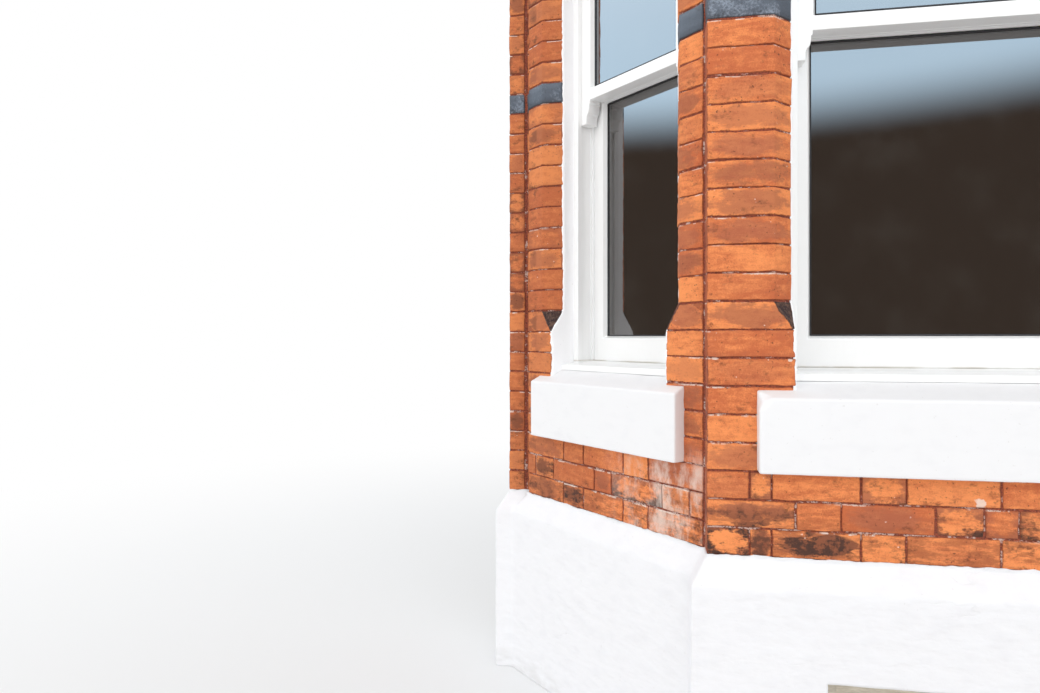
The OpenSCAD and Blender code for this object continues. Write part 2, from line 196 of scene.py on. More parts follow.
class Term:
    """An output socket that takes part in arithmetic."""

    def __init__(self, graph: Graph, socket: bpy.types.NodeSocket) -> None:
        """Keeps the socket and the graph that it belongs to."""
        self.graph = graph
        self.socket = socket

    def _math(self, operation: str, *values: "Term | float") -> "Term":
        """Adds one Math node on the given values."""
        return self.graph.term("ShaderNodeMath", {"operation": operation}, dict(enumerate(values)))

    def __add__(self, other: "Term | float") -> "Term":
        """Adds."""
        return self._math("ADD", self, other)

    __radd__ = __add__

    def __sub__(self, other: "Term | float") -> "Term":
        """Subtracts other from this."""
        return self._math("SUBTRACT", self, other)

    def __rsub__(self, other: float) -> "Term":
        """Subtracts this from other."""
        return self._math("SUBTRACT", other, self)

    def __mul__(self, other: "Term | float") -> "Term":
        """Multiplies."""
        return self._math("MULTIPLY", self, other)

    __rmul__ = __mul__

    def __truediv__(self, other: "Term | float") -> "Term":
        """Divides by other."""
        return self._math("DIVIDE", self, other)

    def __abs__(self) -> "Term":
        """Gives the size without its sign."""
        return self._math("ABSOLUTE", self)

    def __mod__(self, other: "Term | float") -> "Term":
        """Gives what is left over after dividing."""
        return self._math("MODULO", self, other)

    def most(self, other: "Term | float") -> "Term":
        """Gives the larger of two."""
        return self._math("MAXIMUM", self, other)

    def rise(self, low: float, high: float) -> "Term":
        """Gives 0 up to low, 1 from high, and a smooth step between; high below low steps down."""
        return self.graph.term("ShaderNodeMapRange", {"interpolation_type": "SMOOTHSTEP"},
                               {0: self, 1: min(low, high), 2: max(low, high),
                                3: 0.0 if low < high else 1.0, 4: 1.0 if low < high else 0.0})


# Finishes


@dataclass(frozen=True)
class Finish:
    """A surface finish, built as a node material on first use."""

    name: str

    def material(self) -> bpy.types.Material:
        """Gives the finish's material."""
        found = bpy.data.materials.get(self.name)
        if found is None:
            found = bpy.data.materials.new(self.name)
            found.use_nodes = True
            self.dress(Graph(found.node_tree), found.node_tree.nodes["Principled BSDF"])
        return found

    def dress(self, graph: Graph, shader: bpy.types.Node) -> None:
        """Wires the finish into a Principled shader."""
        raise NotImplementedError

    @staticmethod
    def feed(graph: Graph, shader: bpy.types.Node, **inputs: "Term | float | Colour") -> None:
        """Sets shader sockets; an underscore in a key stands for a space."""
        for key, value in inputs.items():
            socket = shader.inputs[key.replace("_", " ")]
            if isinstance(value, Term):
                graph.tree.links.new(value.socket, socket)
            else:
                socket.default_value = value


@dataclass(frozen=True)
class FacingBrick(Finish):
    """Fired clay: a tone for each brick, kiss marks, pits, lime, soot, and painted shade by the house wall.

    The named places are metres in the bay's frame. In dress, a noise is given as bumps a metre, layers and
    strength, and every share runs from 0 to 1.
    """

    pale: Colour = srgb(240, 148, 88)
    deep: Colour = srgb(194, 103, 62)
    kiss: Colour = srgb(158, 91, 68)
    burnt: Colour = srgb(108, 64, 43)
    stain: Colour = srgb(150, 88, 56)
    lime: Colour = srgb(236, 220, 208)
    soot: Colour = srgb(50, 38, 34)
    black: Colour = srgb(28, 29, 35)
    chipped: Colour = srgb(132, 104, 88)
    joint: Colour = srgb(138, 70, 50)
    kiss_share: float = 0.62
    charred_top: Span = (0.94, 0.76)
    strip_start: Span = (1.375, 1.385)
    shaded_end: Span = (1.02, 1.20)
    smear_left: Span = (-1.12, -0.92)
    smear_right: Span = (-0.775, -0.79)
    smear_behind: Span = (-0.35, -0.33)
    smear_top: Span = (1.02, 0.92)
    splashes: tuple[tuple[Triple, float], ...] = (
        ((-0.052, -0.369, 0.888), 0.014), ((-0.548, -0.369, 1.279), 0.006))

    def dress(self, graph: Graph, shader: bpy.types.Node) -> None:
        """Wires the clay's colours, roughness and grain."""
        at = graph.place()
        x, y, z = graph.split(at)
        tone, mark, rim = graph.attribute("tone"), graph.attribute("mark"), graph.attribute("rim")
        u, v, _ = graph.split(graph.term("ShaderNodeUVMap", {"uv_map": "face"}))
        cloud = graph.noise(at, 9.0, 4.0, 0.6)
        fine = graph.noise(at, 46.0, 4.0, 0.65)
        grain = graph.noise(at, 260.0, 3.0, 0.6)
        streak = graph.noise(at, 17.0, 4.0, 0.6, (1.0, 1.0, 4.5))
        wander = graph.noise(at, 13.0, 5.0, 0.7, (1.0, 1.0, 2.6))
        # The lowest courses and the strip by the house wall have fared worst
        low = (z + (tone - 0.5) * 0.16).rise(*self.charred_top)
        worst = low.most(abs(x).rise(*self.strip_start) * 0.65)
        body = (tone * 0.7 + (cloud - 0.5) * 0.8 + (streak - 0.5) * 1.3 + (grain - 0.5) * 0.9
                + (fine - 0.5) * 0.9 + 0.12)
        colour = graph.mix(body.rise(0.0, 1.0), self.pale, self.deep)
        # Kiss marks lie in the middle of most bricks, and round the middle of some
        middle = ((u - 0.5) * (u - 0.5) * 2.9 + (v - 0.5) * (v - 0.5) * 3.2 + (fine - 0.5) * 1.3
                  + (wander - 0.5) * (low * 1.2 + 2.3))
        turned = (mark * 9.7 % 1.0).rise(0.70, 0.72)
        middle = middle + turned * (1.15 - middle * 2.0)
        chosen = (mark - (1 - self.kiss_share)).rise(-0.1, 0.25)
        colour = graph.mix(middle.rise(0.9, 0.25) * chosen * (0.60 + worst * 0.25), colour, self.kiss)
        heart = (middle + (streak - 0.5) * 1.6).rise(0.80, 0.30) * (mark + worst * 0.42).rise(0.84, 1.1)
        veil = (streak + (wander - 0.5) * 0.8 + (tone - 0.5) * 0.3).rise(0.42, 0.62) * worst
        # Brown stain on the lowest courses, and painted shade on the ends of the bay near the house wall
        colour = graph.mix((veil * 0.55).most(abs(x).rise(*self.shaded_end) * 0.30), colour, self.stain)
        colour = graph.mix(heart * (0.3 + worst * 0.40), colour, self.burnt)
        blot = (graph.noise(at, 15.0, 5.0, 0.75, (1.0, 1.0, 1.8)) + worst * 0.06).rise(0.55, 0.70)
        colour = graph.mix(blot * fine.rise(0.40, 0.6) * (0.65 + worst * 0.3), colour, self.burnt)
        charred = heart * (fine + cloud * 0.8).rise(0.80, 0.94) * low
        colour = graph.mix(charred * 0.85, colour, self.soot)
        pits = graph.noise(at, 130.0, 2.0, 0.4).rise(0.66, 0.73) * cloud.rise(0.42, 0.6)
        colour = graph.mix(pits * 0.7, colour, self.soot)
        scuff = graph.noise(at, 38.0, 6.0, 0.8, (1.0, 1.0, 1.4)).rise(0.56, 0.68)
        colour = graph.mix(scuff * 0.4, colour, self.kiss)
        # Mortar creeps over the rim, and lime lies along the top edge
        ragged = (rim + (fine - 0.5) * 0.014 + (grain - 0.5) * 0.008).rise(0.0022, 0.0004)
        colour = graph.mix(ragged * 0.7, colour, self.joint)
        line = graph.noise(at, 16.0, 4.0, 0.65, (1.0, 1.0, 0.3)).rise(0.46, 0.52)
        limed = (v + (fine - 0.5) * 0.08).rise(0.93, 0.965) * line * (grain + fine).rise(0.85, 1.0)
        limed = limed * graph.noise(at, 3.6, 2.0, 0.5).rise(0.46, 0.56)
        speck = graph.noise(at, 85.0, 1.0, 0.3).rise(0.78, 0.80) * cloud.rise(0.5, 0.6)
        colour = graph.mix((limed * 0.85).most(speck * 0.7), colour, self.lime)
        # The stops of the chamfers are black
        stop = (graph.attribute("soot") + (fine - 0.5) * 0.010).rise(0.0045, 0.002)
        rough = graph.noise(at, 62.0, 5.0, 0.75, (1.6, 1.6, 1.0)).rise(0.44, 0.58)
        colour = graph.mix(stop * 0.95, colour, graph.mix(rough * 0.5, self.black, self.chipped))
        # Old lime wash on the left apron, and splashes of it
        wash = graph.noise(at, 14.0, 5.0, 0.7, (1.0, 1.0, 0.5)).rise(0.40, 0.66)
        smear = (x.rise(*self.smear_left) * x.rise(*self.smear_right) * y.rise(*self.smear_behind)
                 * z.rise(*self.smear_top) * wash)
        colour = graph.mix(smear * 0.66, colour, self.lime)
        for spot, size in self.splashes:
            away = graph.vector("DISTANCE", at, spot, "Value")
            colour = graph.mix((away + (fine - 0.5) * size * 2.4).rise(size * 1.1, size * 0.8) * 0.75, colour,
                               self.lime)
        height = grain * 0.3 + fine * 0.5 + streak * 0.3 - pits * 0.5 - ragged * 0.6 + stop * rough
        self.feed(graph, shader, Base_Color=colour, Roughness=0.82 + (grain - 0.5) * 0.3,
                  Normal=graph.bump(height, 0.0024, 0.8), Specular_IOR_Level=0.35)


@dataclass(frozen=True)
class BlueBrick(Finish):
    """Hard blue-black brick with paler bloom and a slight sheen, and painted shade on every face behind the
    front.
    """

    dark: Colour = srgb(70, 75, 84)
    bloom: Colour = srgb(132, 140, 152)
    edge: Colour = srgb(48, 48, 52)

    def dress(self, graph: Graph, shader: bpy.types.Node) -> None:
        """Wires the brick's bloom and grain."""
        at = graph.place()
        fine = graph.noise(at, 120.0, 5.0, 0.75)
        cloud = graph.noise(at, 16.0, 3.0, 0.6)
        # Painted shade: the faces behind the front are darker, as if only the front caught the sheen
        behind = (graph.split(at)[1] - PLAN.front_y).rise(0.002, 0.03)
        share = fine + cloud - 1.0 + graph.attribute("tone") * 0.2 - behind * 0.26
        colour = graph.mix(share.rise(-0.12, 0.28), self.dark, self.bloom)
        worn = (graph.attribute("rim") + (fine - 0.5) * 0.014).rise(0.006, 0.002)
        spots = graph.noise(at, 110.0, 3.0, 0.6).rise(0.58, 0.66)
        colour = graph.mix((spots * 0.6).most(worn * 0.7), colour, self.edge)
        self.feed(graph, shader, Base_Color=colour, Roughness=0.5 + (fine - 0.5) * 0.4,
                  Normal=graph.bump(fine + cloud, 0.0015, 0.6))


@dataclass(frozen=True)
class Mortar(Finish):
    """Dark red-brown pointing with flecks of old lime, more of them low down and none up high."""

    body: Colour = srgb(158, 80, 56)
    shade: Colour = srgb(104, 54, 42)
    fleck: Colour = srgb(226, 206, 194)
    most_flecks: Span = (1.0, 0.9)
    last_flecks: Span = (2.9, 2.3)

    def dress(self, graph: Graph, shader: bpy.types.Node) -> None:
        """Wires the pointing's colours and grit."""
        at = graph.place()
        z = graph.split(at)[2]
        grit = graph.noise(at, 180.0, 3.0, 0.6)
        patch = graph.noise(at, 17.0, 4.0, 0.7)
        colour = graph.mix(grit.rise(0.35, 0.65), self.shade, self.body)
        limed = (patch + z.rise(*self.most_flecks) * 0.05).rise(0.54, 0.62) * grit.rise(0.4, 0.5)
        colour = graph.mix(limed * z.rise(*self.last_flecks) * 0.6, colour, self.fleck)
        self.feed(graph, shader, Base_Color=colour, Roughness=0.95,
                  Normal=graph.bump(grit + patch, 0.003, 0.8))


@dataclass(frozen=True)
class MasonryPaint(Finish):
    """Many coats of white masonry paint over render or stone: lumps, brush drags and fine creases."""

    white: Colour = srgb(240, 240, 242)
    shadow: Colour = srgb(214, 214, 218)
    dirt: Colour = srgb(150, 142, 128)
    relief: float = 0.004
    brushed: float = 0.20
    ground_dirt: float = 0.10

    def dress(self, graph: Graph, shader: bpy.types.Node) -> None:
        """Wires the paint's relief and its faint dirt."""
        at = graph.place()
        lumps = graph.noise(at, 17.0, 4.0, 0.55)
        drag = graph.noise(at, 14.0, 3.0, 0.45, (1.0, 1.0, 2.3))
        fold = graph.noise(at, 3.5, 4.0, 0.5, (0.7, 0.7, 1.6))
        crease = abs(fold - 0.5).rise(0.008, 0.0) * graph.noise(at, 3.0, 2.0, 0.5).rise(0.56, 0.66)
        grit = graph.noise(at, 240.0, 2.0, 0.5)
        colour = graph.mix((lumps - 0.5) * 0.4 + (drag - 0.5) * 0.5 + crease * 0.12, self.white, self.shadow)
        if self.ground_dirt:
            foot = (graph.split(at)[2] + (lumps - 0.5) * 0.12).rise(self.ground_dirt, 0.0)
            colour = graph.mix(foot * drag.rise(0.3, 0.7) * 0.18, colour, self.dirt)
        specks = graph.noise(at, 120.0, 1.0, 0.4).rise(0.76, 0.8)
        colour = graph.mix(specks * 0.15, colour, self.dirt)
        height = lumps * 0.4 + drag * self.brushed + grit * 0.02 - crease * 0.1
        self.feed(graph, shader, Base_Color=colour, Roughness=0.58,
                  Normal=graph.bump(height, self.relief, 0.6))


@dataclass(frozen=True)
class TimberPaint(Finish):
    """Satin white paint on planed timber, with brush marks along the height and grime on the sills."""

    white: Colour = srgb(246, 246, 245)
    grime: Colour = srgb(176, 164, 142)
    sill_top: float = 1.251

    def dress(self, graph: Graph, shader: bpy.types.Node) -> None:
        """Wires the brush marks and the line of grime where the sash meets its sill."""
        at = graph.place()
        brush = graph.noise(at, 22.0, 3.0, 0.6, (9.0, 9.0, 0.8))
        cloud = graph.noise(at, 5.0, 3.0, 0.6)
        colour = graph.mix((brush - 0.5) * 0.06 + (cloud - 0.5) * 0.1, self.white, self.grime)
        over = graph.split(at)[2] - self.sill_top
        line = over.rise(-0.004, 0.0) * over.rise(0.006, 0.0)
        colour = graph.mix(line * cloud.rise(0.35, 0.6) * 0.55, colour, self.grime)
        self.feed(graph, shader, Base_Color=colour, Roughness=0.36 + (brush - 0.5) * 0.2,
                  Normal=graph.bump(brush, 0.0003, 0.4), Coat_Weight=0.15)


@dataclass(frozen=True)
class Plain(Finish):
    """One body colour that wanders towards a second, with grain."""

    first: Colour
    second: Colour
    scale: float
    grain_scale: float
    stretch: Triple = (1.0, 1.0, 1.0)
    rough: float = 0.7
    relief: float = 0.001
    metal: float = 0.0
    tones: float = 0.0

    def dress(self, graph: Graph, shader: bpy.types.Node) -> None:
        """Wires the two colours and the grain."""
        at = graph.place()
        cloud = graph.noise(at, self.scale, 4.0, 0.6, self.stretch)
        grain = graph.noise(at, self.grain_scale, 3.0, 0.6, self.stretch)
        share = cloud + (grain - 0.5) * 0.4 + (graph.attribute("tone") - 0.5) * self.tones
        self.feed(graph, shader, Base_Color=graph.mix(share.rise(0.3, 0.7), self.first, self.second),
                  Roughness=self.rough + (cloud - 0.5) * 0.25, Metallic=self.metal,
                  Normal=graph.bump(cloud * 0.5 + grain * 0.5, self.relief, 0.6))


@dataclass(frozen=True)
class Pane(Finish):
    """Double glazing whose dark body is painted shade for the unlit room behind it, with a faint film of
    dust.
    """

    dark: Colour = srgb(34, 28, 24)
    film: Colour = srgb(70, 68, 64)
    clear: float = 0.04
    index: float = 2.5

    def dress(self, graph: Graph, shader: bpy.types.Node) -> None:
        """Wires the dark body and the dust."""
        dust = graph.noise(graph.place(), 7.0, 4.0, 0.6)
        # The dark body colour is painted shade of the room behind the glass
        self.feed(graph, shader, Base_Color=graph.mix(dust.rise(0.45, 0.8) * 0.25, self.dark, self.film),
                  Roughness=0.03 + dust.rise(0.4, 0.9) * 0.03, IOR=self.index, Alpha=1.0 - self.clear)


@dataclass(frozen=True)
class Finishes:
    """Every finish of the bay."""

    brick: FacingBrick = FacingBrick("facing_brick")
    blue: BlueBrick = BlueBrick("hard_blue_brick")
    mortar: Mortar = Mortar("dark_red_mortar")
    plinth: MasonryPaint = MasonryPaint("plinth_paint", white=srgb(237, 237, 239), relief=0.010, brushed=0.9)
    stone: MasonryPaint = MasonryPaint("stone_paint", white=srgb(236, 236, 237), shadow=srgb(218, 218, 221),
                                       relief=0.0016, brushed=0.05, ground_dirt=0.0)
    # Painted shade: a darker copy of the stone paint, so the mouldings read greyer than the sills under the
    # same light
    moulding: MasonryPaint = MasonryPaint("moulding_paint_painted_shade", white=srgb(214, 213, 209),
                                          shadow=srgb(190, 188, 182), relief=0.0022, brushed=0.08,
                                          ground_dirt=0.0)
    reveal: MasonryPaint = MasonryPaint("reveal_paint", white=srgb(252, 252, 253), shadow=srgb(240, 240, 242),
                                       relief=0.0018, brushed=0.08, ground_dirt=0.0)
    timber: TimberPaint = TimberPaint("timber_paint")
    plaster: Plain = Plain("wall_plaster", srgb(226, 222, 212), srgb(216, 211, 200), 4.0, 200.0, rough=0.85)
    ceiling: Plain = Plain("ceiling_plaster", srgb(230, 228, 222), srgb(220, 217, 209), 3.0, 220.0, rough=0.9)
    board: Plain = Plain("old_board_paint", srgb(224, 216, 200), srgb(186, 176, 158), 6.0, 60.0,
                         stretch=(1.0, 4.0, 6.0), rough=0.8, relief=0.002)
    slate: Plain = Plain("roof_slate", srgb(86, 90, 98), srgb(58, 61, 68), 9.0, 90.0,
                         rough=0.55, relief=0.0015, tones=0.7)
    lead: Plain = Plain("sheet_lead", srgb(140, 143, 147), srgb(104, 107, 112), 6.0, 60.0,
                        rough=0.5, relief=0.002, metal=0.35)
    gasket: Plain = Plain("black_gasket", srgb(26, 26, 28), srgb(38, 38, 40), 30.0, 200.0, rough=0.6)
    pane: Pane = Pane("window_pane_room_shade")


FINISH = Finishes()


# Plan and faces


@dataclass(frozen=True)
class Plan:
    """Sizes of the bay in metres, as the part's source has them; cellar is a half width, foot and head."""

    front_half: float = 0.7795
    bay_half: float = 1.5085
    depth: float = 0.906
    cornice_out: float = 0.168
    nib: float = 0.0415
    cant_length: float = 0.912
    course: float = 0.082
    joint: float = 0.004
    plinth_top: float = 0.711
    plinth_out: float = 0.050
    wall: float = 0.245
    apron_courses: int = 3
    stop_course: int = 8
    blue_course: int = 19
    head_course: int = 32
    arch_courses: int = 3
    upper_courses: int = 5
    frieze_courses: int = 2
    front_voussoirs: int = 15
    side_voussoirs: int = 9
    front_window: float = 0.5335
    side_window: float = 0.300
    chamfer: float = 0.056
    skew: float = 0.060
    strip_face: float = 0.068
    strip_gap: float = 0.008
    frieze: float = 3.865
    cellar: Triple = (0.459, 0.082, 0.385)

    @property
    def wall_y(self) -> float:
        """Plane of the house wall."""
        return (self.depth + self.cornice_out) / 2

    @property
    def front_y(self) -> float:
        """Plane of the front brick face."""
        return self.wall_y - self.depth

    @property
    def cant_foot(self) -> Point:
        """Where the left canted face meets the square end of the front."""
        return (-self.front_half, self.front_y + self.nib * math.sqrt(2))

    @property
    def cant_end(self) -> Point:
        """The left canted face's outer corner by the house wall."""
        run = self.cant_length / math.sqrt(2)
        return (self.cant_foot[0] - run, self.cant_foot[1] + run)

    @property
    def strip_y(self) -> float:
        """Plane of the brick strip beside the house wall."""
        return self.cant_end[1] + self.nib

    def level(self, course: float) -> float:
        """Height of the bed of a course, counted from the plinth."""
        return self.plinth_top + course * self.course


PLAN = Plan()


class Side(Enum):
    """The faces of the bay, seen from outside."""

    STRIP_LEFT = "strip_left"
    LEFT = "left"
    FRONT = "front"
    RIGHT = "right"
    STRIP_RIGHT = "strip_right"

    def matrix(self) -> Matrix:
        """Gives the place of a face: x along it to the right, y into the wall, z up."""
        mid = [(a + b) / 2 for a, b in zip(PLAN.cant_foot, PLAN.cant_end)]
        strip = (PLAN.bay_half + abs(PLAN.cant_end[0]) - PLAN.nib) / 2
        x, y, turn = {
            Side.STRIP_LEFT: (-strip, PLAN.strip_y, 0),
            Side.LEFT: (mid[0], mid[1], -45),
            Side.FRONT: (0.0, PLAN.front_y, 0),
            Side.RIGHT: (-mid[0], mid[1], 45),
            Side.STRIP_RIGHT: (strip, PLAN.strip_y, 0),
        }[self]
        return Matrix.Translation((x, y, 0)) @ Matrix.Rotation(math.radians(turn), 4, "Z")

    @property
    def half_length(self) -> float:
        """Half the length of the face."""
        if self is Side.FRONT:
            return PLAN.front_half
        if self in (Side.LEFT, Side.RIGHT):
            return PLAN.cant_length / 2
        return (PLAN.bay_half - abs(PLAN.cant_end[0]) + PLAN.nib) / 2

    @property
    def window_half(self) -> float:
        """Half the width of the window in the face, or 0."""
        return {Side.FRONT: PLAN.front_window, Side.LEFT: PLAN.side_window,
                Side.RIGHT: PLAN.side_window}.get(self, 0.0)

    @property
    def third(self) -> str:
        """The third of the bay that the face belongs to: left, front or right."""
        return self.value.replace("strip_", "")


WINDOWED = (Side.LEFT, Side.FRONT, Side.RIGHT)


# Mesh tools

SAME_SPOT = 2e-5


def show(name: str, mesh: bpy.types.Mesh) -> bpy.types.Object:
    """Links a mesh into the scene as an object at the origin."""
    made = bpy.data.objects.new(name, mesh)
    bpy.context.scene.collection.objects.link(made)
    return made


def settle(piece: bpy.types.Object) -> bpy.types.Object:
    """Turns a piece's live modifiers into its plain mesh."""
    view = bpy.context.evaluated_depsgraph_get()
    mesh = bpy.data.meshes.new_from_object(piece.evaluated_get(view), preserve_all_data_layers=True,
                                           depsgraph=view)
    piece.modifiers.clear()
    piece.data = mesh
    return piece


def hand_in(piece: bpy.types.Object, slot: str, *nodes: str) -> bpy.types.Object:
    """Puts a finished piece on the bay's body, in place of the named CAD nodes."""
    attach(piece, "root")
    if nodes:
        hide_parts(*nodes)
    LOG.info("%s: %d faces", piece.name, len(piece.data.polygons))
    return piece


def one_finish(piece: bpy.types.Object, finish: Finish) -> bpy.types.Object:
    """Leaves a piece with one material slot on all its faces."""
    piece.data.materials.clear()
    piece.data.materials.append(finish.material())
    for polygon in piece.data.polygons:
        polygon.material_index = 0
    return piece


def join(first: bpy.types.Object, *others: bpy.types.Object) -> bpy.types.Object:
    """Joins pieces into the first, with their attributes and materials."""
    with bpy.context.temp_override(active_object=first, selected_editable_objects=[first, *others]):
        bpy.ops.object.join()
    return first


def copy_of(node: str) -> bmesh.types.BMesh:
    """Gives a welded copy of a CAD node's mesh, with flat faces made whole."""
    made = bmesh.new()
    made.from_mesh(frame["nodes"][node].data)
    bmesh.ops.remove_doubles(made, verts=made.verts, dist=SAME_SPOT)
    bmesh.ops.dissolve_degenerate(made, dist=SAME_SPOT, edges=made.edges)
    bmesh.ops.dissolve_limit(made, angle_limit=0.01, verts=made.verts, edges=made.edges)
    for edge in made.edges:
        edge.smooth = True
    return made


def bisect(made: bmesh.types.BMesh, point: Vector, normal: Vector, clear: bool = True) -> None:
    """Cuts a mesh at a plane, and closes it where the outer part goes."""
    everything = [*made.verts, *made.edges, *made.faces]
    done = bmesh.ops.bisect_plane(made, geom=everything, dist=1e-6, plane_co=point, plane_no=normal,
                                  clear_outer=clear)
    if clear:
        edges = [e for e in done["geom_cut"] if isinstance(e, bmesh.types.BMEdge)]
        bmesh.ops.holes_fill(made, edges=edges)


def cut_away(piece: bpy.types.Object, *planes: tuple[Vector, Vector]) -> None:
    """Cuts off what lies outside each plane, given as a point and an outward normal, and closes the cut."""
    made = bmesh.new()
    made.from_mesh(piece.data)
    for point, normal in planes:
        bisect(made, point, normal)
    bmesh.ops.triangulate(made, faces=[f for f in made.faces if len(f.verts) > 4])
    made.to_mesh(piece.data)
    made.free()


def add_to(whole: bmesh.types.BMesh, part: bmesh.types.BMesh) -> None:
    """Adds a part to a whole and frees it."""
    mesh = bpy.data.meshes.new("part")
    part.to_mesh(mesh)
    part.free()
    whole.from_mesh(mesh)
    bpy.data.meshes.remove(mesh)


def weld(*nodes: str) -> bmesh.types.BMesh:
    """Gives a copy of CAD nodes made into one solid, without the faces where they meet."""
    made = bmesh.new()
    for node in nodes:
        add_to(made, copy_of(node))
    made.normal_update()
    met: dict[tuple, list[bmesh.types.BMFace]] = {}
    for face in made.faces:
        middle = face.calc_center_median()
        met.setdefault(tuple(round(v, 3) for v in middle), []).append(face)
    inner = [face for faces in met.values() if len(faces) == 2
             and faces[0].normal.dot(faces[1].normal) < -0.99 for face in faces]
    bmesh.ops.delete(made, geom=inner, context="FACES")
    bmesh.ops.remove_doubles(made, verts=made.verts, dist=1e-4)
    return made


def to_mesh(source: bmesh.types.BMesh, name: str, *finishes: Finish) -> bpy.types.Mesh:
    """Writes a bmesh out as a mesh with its materials and frees it."""
    mesh = bpy.data.meshes.new(name)
    source.to_mesh(mesh)
    source.free()
    for finish in finishes:
        mesh.materials.append(finish.material())
    return mesh


def use_tree(piece: bpy.types.Object, tree: bpy.types.NodeTree, **values: object) -> bpy.types.Object:
    """Runs a geometry tree on a piece and keeps the result as its mesh.

    Args:
        piece: The object that the tree starts from.
        tree: The geometry tree.
        values: Input values by socket name, with underscores for spaces.

    Returns:
        The same object with its new mesh.
    """
    modifier = piece.modifiers.new("tree", "NODES")
    modifier.node_group = tree
    sockets = {item.name: item.identifier for item in tree.interface.items_tree
               if item.item_type == "SOCKET" and item.in_out == "INPUT"}
    for name, value in values.items():
        modifier[sockets[name.replace("_", " ")]] = value
    piece.data.update()
    return settle(piece)


def geometry_tree(name: str, *numbers: str, **others: str) -> tuple[Graph, dict[str, Term]]:
    """Starts a geometry tree, with inputs for its geometry and its finish.

    Args:
        name: The tree's name.
        numbers: Names of the inputs that are plain numbers.
        others: Kinds of the inputs that aren't, by name.

    Returns:
        The graph, and its inputs as terms.
    """
    tree = bpy.data.node_groups.new(name, "GeometryNodeTree")
    kinds = {"Geometry": "Geometry", **dict.fromkeys(numbers, "Float"), **others, "Finish": "Material"}
    for label, kind in kinds.items():
        tree.interface.new_socket(label, in_out="INPUT", socket_type=f"NodeSocket{kind}")
    tree.interface.new_socket("Geometry", in_out="OUTPUT", socket_type="NodeSocketGeometry")
    graph = Graph(tree)
    source = graph.node("NodeGroupInput")
    return graph, {label: Term(graph, source.outputs[label]) for label in kinds}


def finish_tree(graph: Graph, shape: Term, finish: Term) -> bpy.types.NodeTree:
    """Ends a geometry tree in Realize Instances and Set Material."""
    real = graph.term("GeometryNodeRealizeInstances", None, {0: shape})
    dressed = graph.term("GeometryNodeSetMaterial", None, {"Geometry": real, "Material": finish})
    graph.node("NodeGroupOutput", None, {0: dressed})
    return graph.tree


# Bricks


class Cut(Enum):
    """How the end of a brick is made."""

    SQUARE = "square"
    CHAMFER = "chamfer"
    STOP_FOOT = "stop_foot"
    STOP_HEAD = "stop_head"


@dataclass(frozen=True)
class BrickShape:
    """One made shape of brick; hand is the end, -1 or 1, that its cut is on."""

    width_mm: int
    cut: Cut = Cut.SQUARE
    hand: int = 1
    height_mm: int = 78
    depth_mm: int = 100
    arris: float = 0.0034
    cells: Triple = (0.04, 0.05, 0.027)

    def mesh(self, name: str) -> bpy.types.Mesh:
        """Builds the brick about the middle of its bed, its face at y = 0."""
        half, depth, height = self.width_mm / 2000, self.depth_mm / 1000, self.height_mm / 1000
        made = bmesh.new()
        bmesh.ops.create_cube(made, size=1.0)
        for vert in made.verts:
            vert.co = Vector((vert.co.x * 2 * half, (vert.co.y + 0.5) * depth, (vert.co.z + 0.5) * height))
        plane = self._cut_plane(half, height)
        if plane:
            bisect(made, *plane)
        for axis, (low, high) in enumerate(((-half, half), (0.0, depth), (0.0, height))):
            count = max(1, round((high - low) / self.cells[axis]))
            normal = Vector([1.0 if i == axis else 0.0 for i in range(3)])
            for k in range(1, count):
                bisect(made, normal * (low + (high - low) * k / count), normal, clear=False)
        made.normal_update()
        sharp = [e for e in made.edges if e.is_manifold and e.calc_face_angle(0.0) > 0.3]
        bmesh.ops.bevel(made, geom=sharp, offset=self.arris, segments=2, profile=0.5, affect="EDGES",
                        clamp_overlap=True)
        made.normal_update()
        self._mark(made, half, depth, height, plane)
        for face in made.faces:
            face.smooth = True
        return to_mesh(made, name)

    def _cut_plane(self, half: float, height: float) -> tuple[Vector, Vector] | None:
        """Gives a point and the outward normal of the plane that cuts the end, if any."""
        size, joint, course = PLAN.chamfer, PLAN.joint / 2, PLAN.course
        side = self.hand
        if self.cut is Cut.CHAMFER:
            return Vector((side * half, size, 0)), Vector((side, -1, 0)).normalized()
        if self.cut in (Cut.STOP_FOOT, Cut.STOP_HEAD):
            up = self.cut is Cut.STOP_FOOT
            foot = -joint if up else height + joint
            top = course - joint if up else height + joint - course
            a = Vector((side * half, 0, foot))
            b = Vector((side * (half - size), 0, top))
            c = Vector((side * half, size, top))
            normal = (b - a).cross(c - a).normalized()
            return a, normal if normal.y < 0 else -normal
        return None

    def _mark(self, made: bmesh.types.BMesh, half: float, depth: float, height: float,
              plane: tuple[Vector, Vector] | None) -> None:
        """Writes the place on the brick's face, the way to its rim and the way to a stop's black face."""
        layer = made.loops.layers.uv.new("face")
        soot = made.verts.layers.float.new("soot")
        rim = made.verts.layers.float.new("rim")
        for vert in made.verts:
            ends = [half + vert.co.x, half - vert.co.x]
            if self.cut is not Cut.SQUARE:
                ends.pop(1 if self.hand > 0 else 0)
            vert[rim] = max(0.0, min(vert.co.z, height - vert.co.z, *ends))
        for face in made.faces:
            for loop in face.loops:
                spot = loop.vert.co
                across = spot.y / depth if abs(face.normal.x) > 0.8 else (spot.x + half) / (2 * half)
                loop[layer].uv = (across, spot.z / height)
        black = plane and self.cut in (Cut.STOP_FOOT, Cut.STOP_HEAD)
        for vert in made.verts:
            vert[soot] = abs((vert.co - plane[0]).dot(plane[1])) if black else 1.0


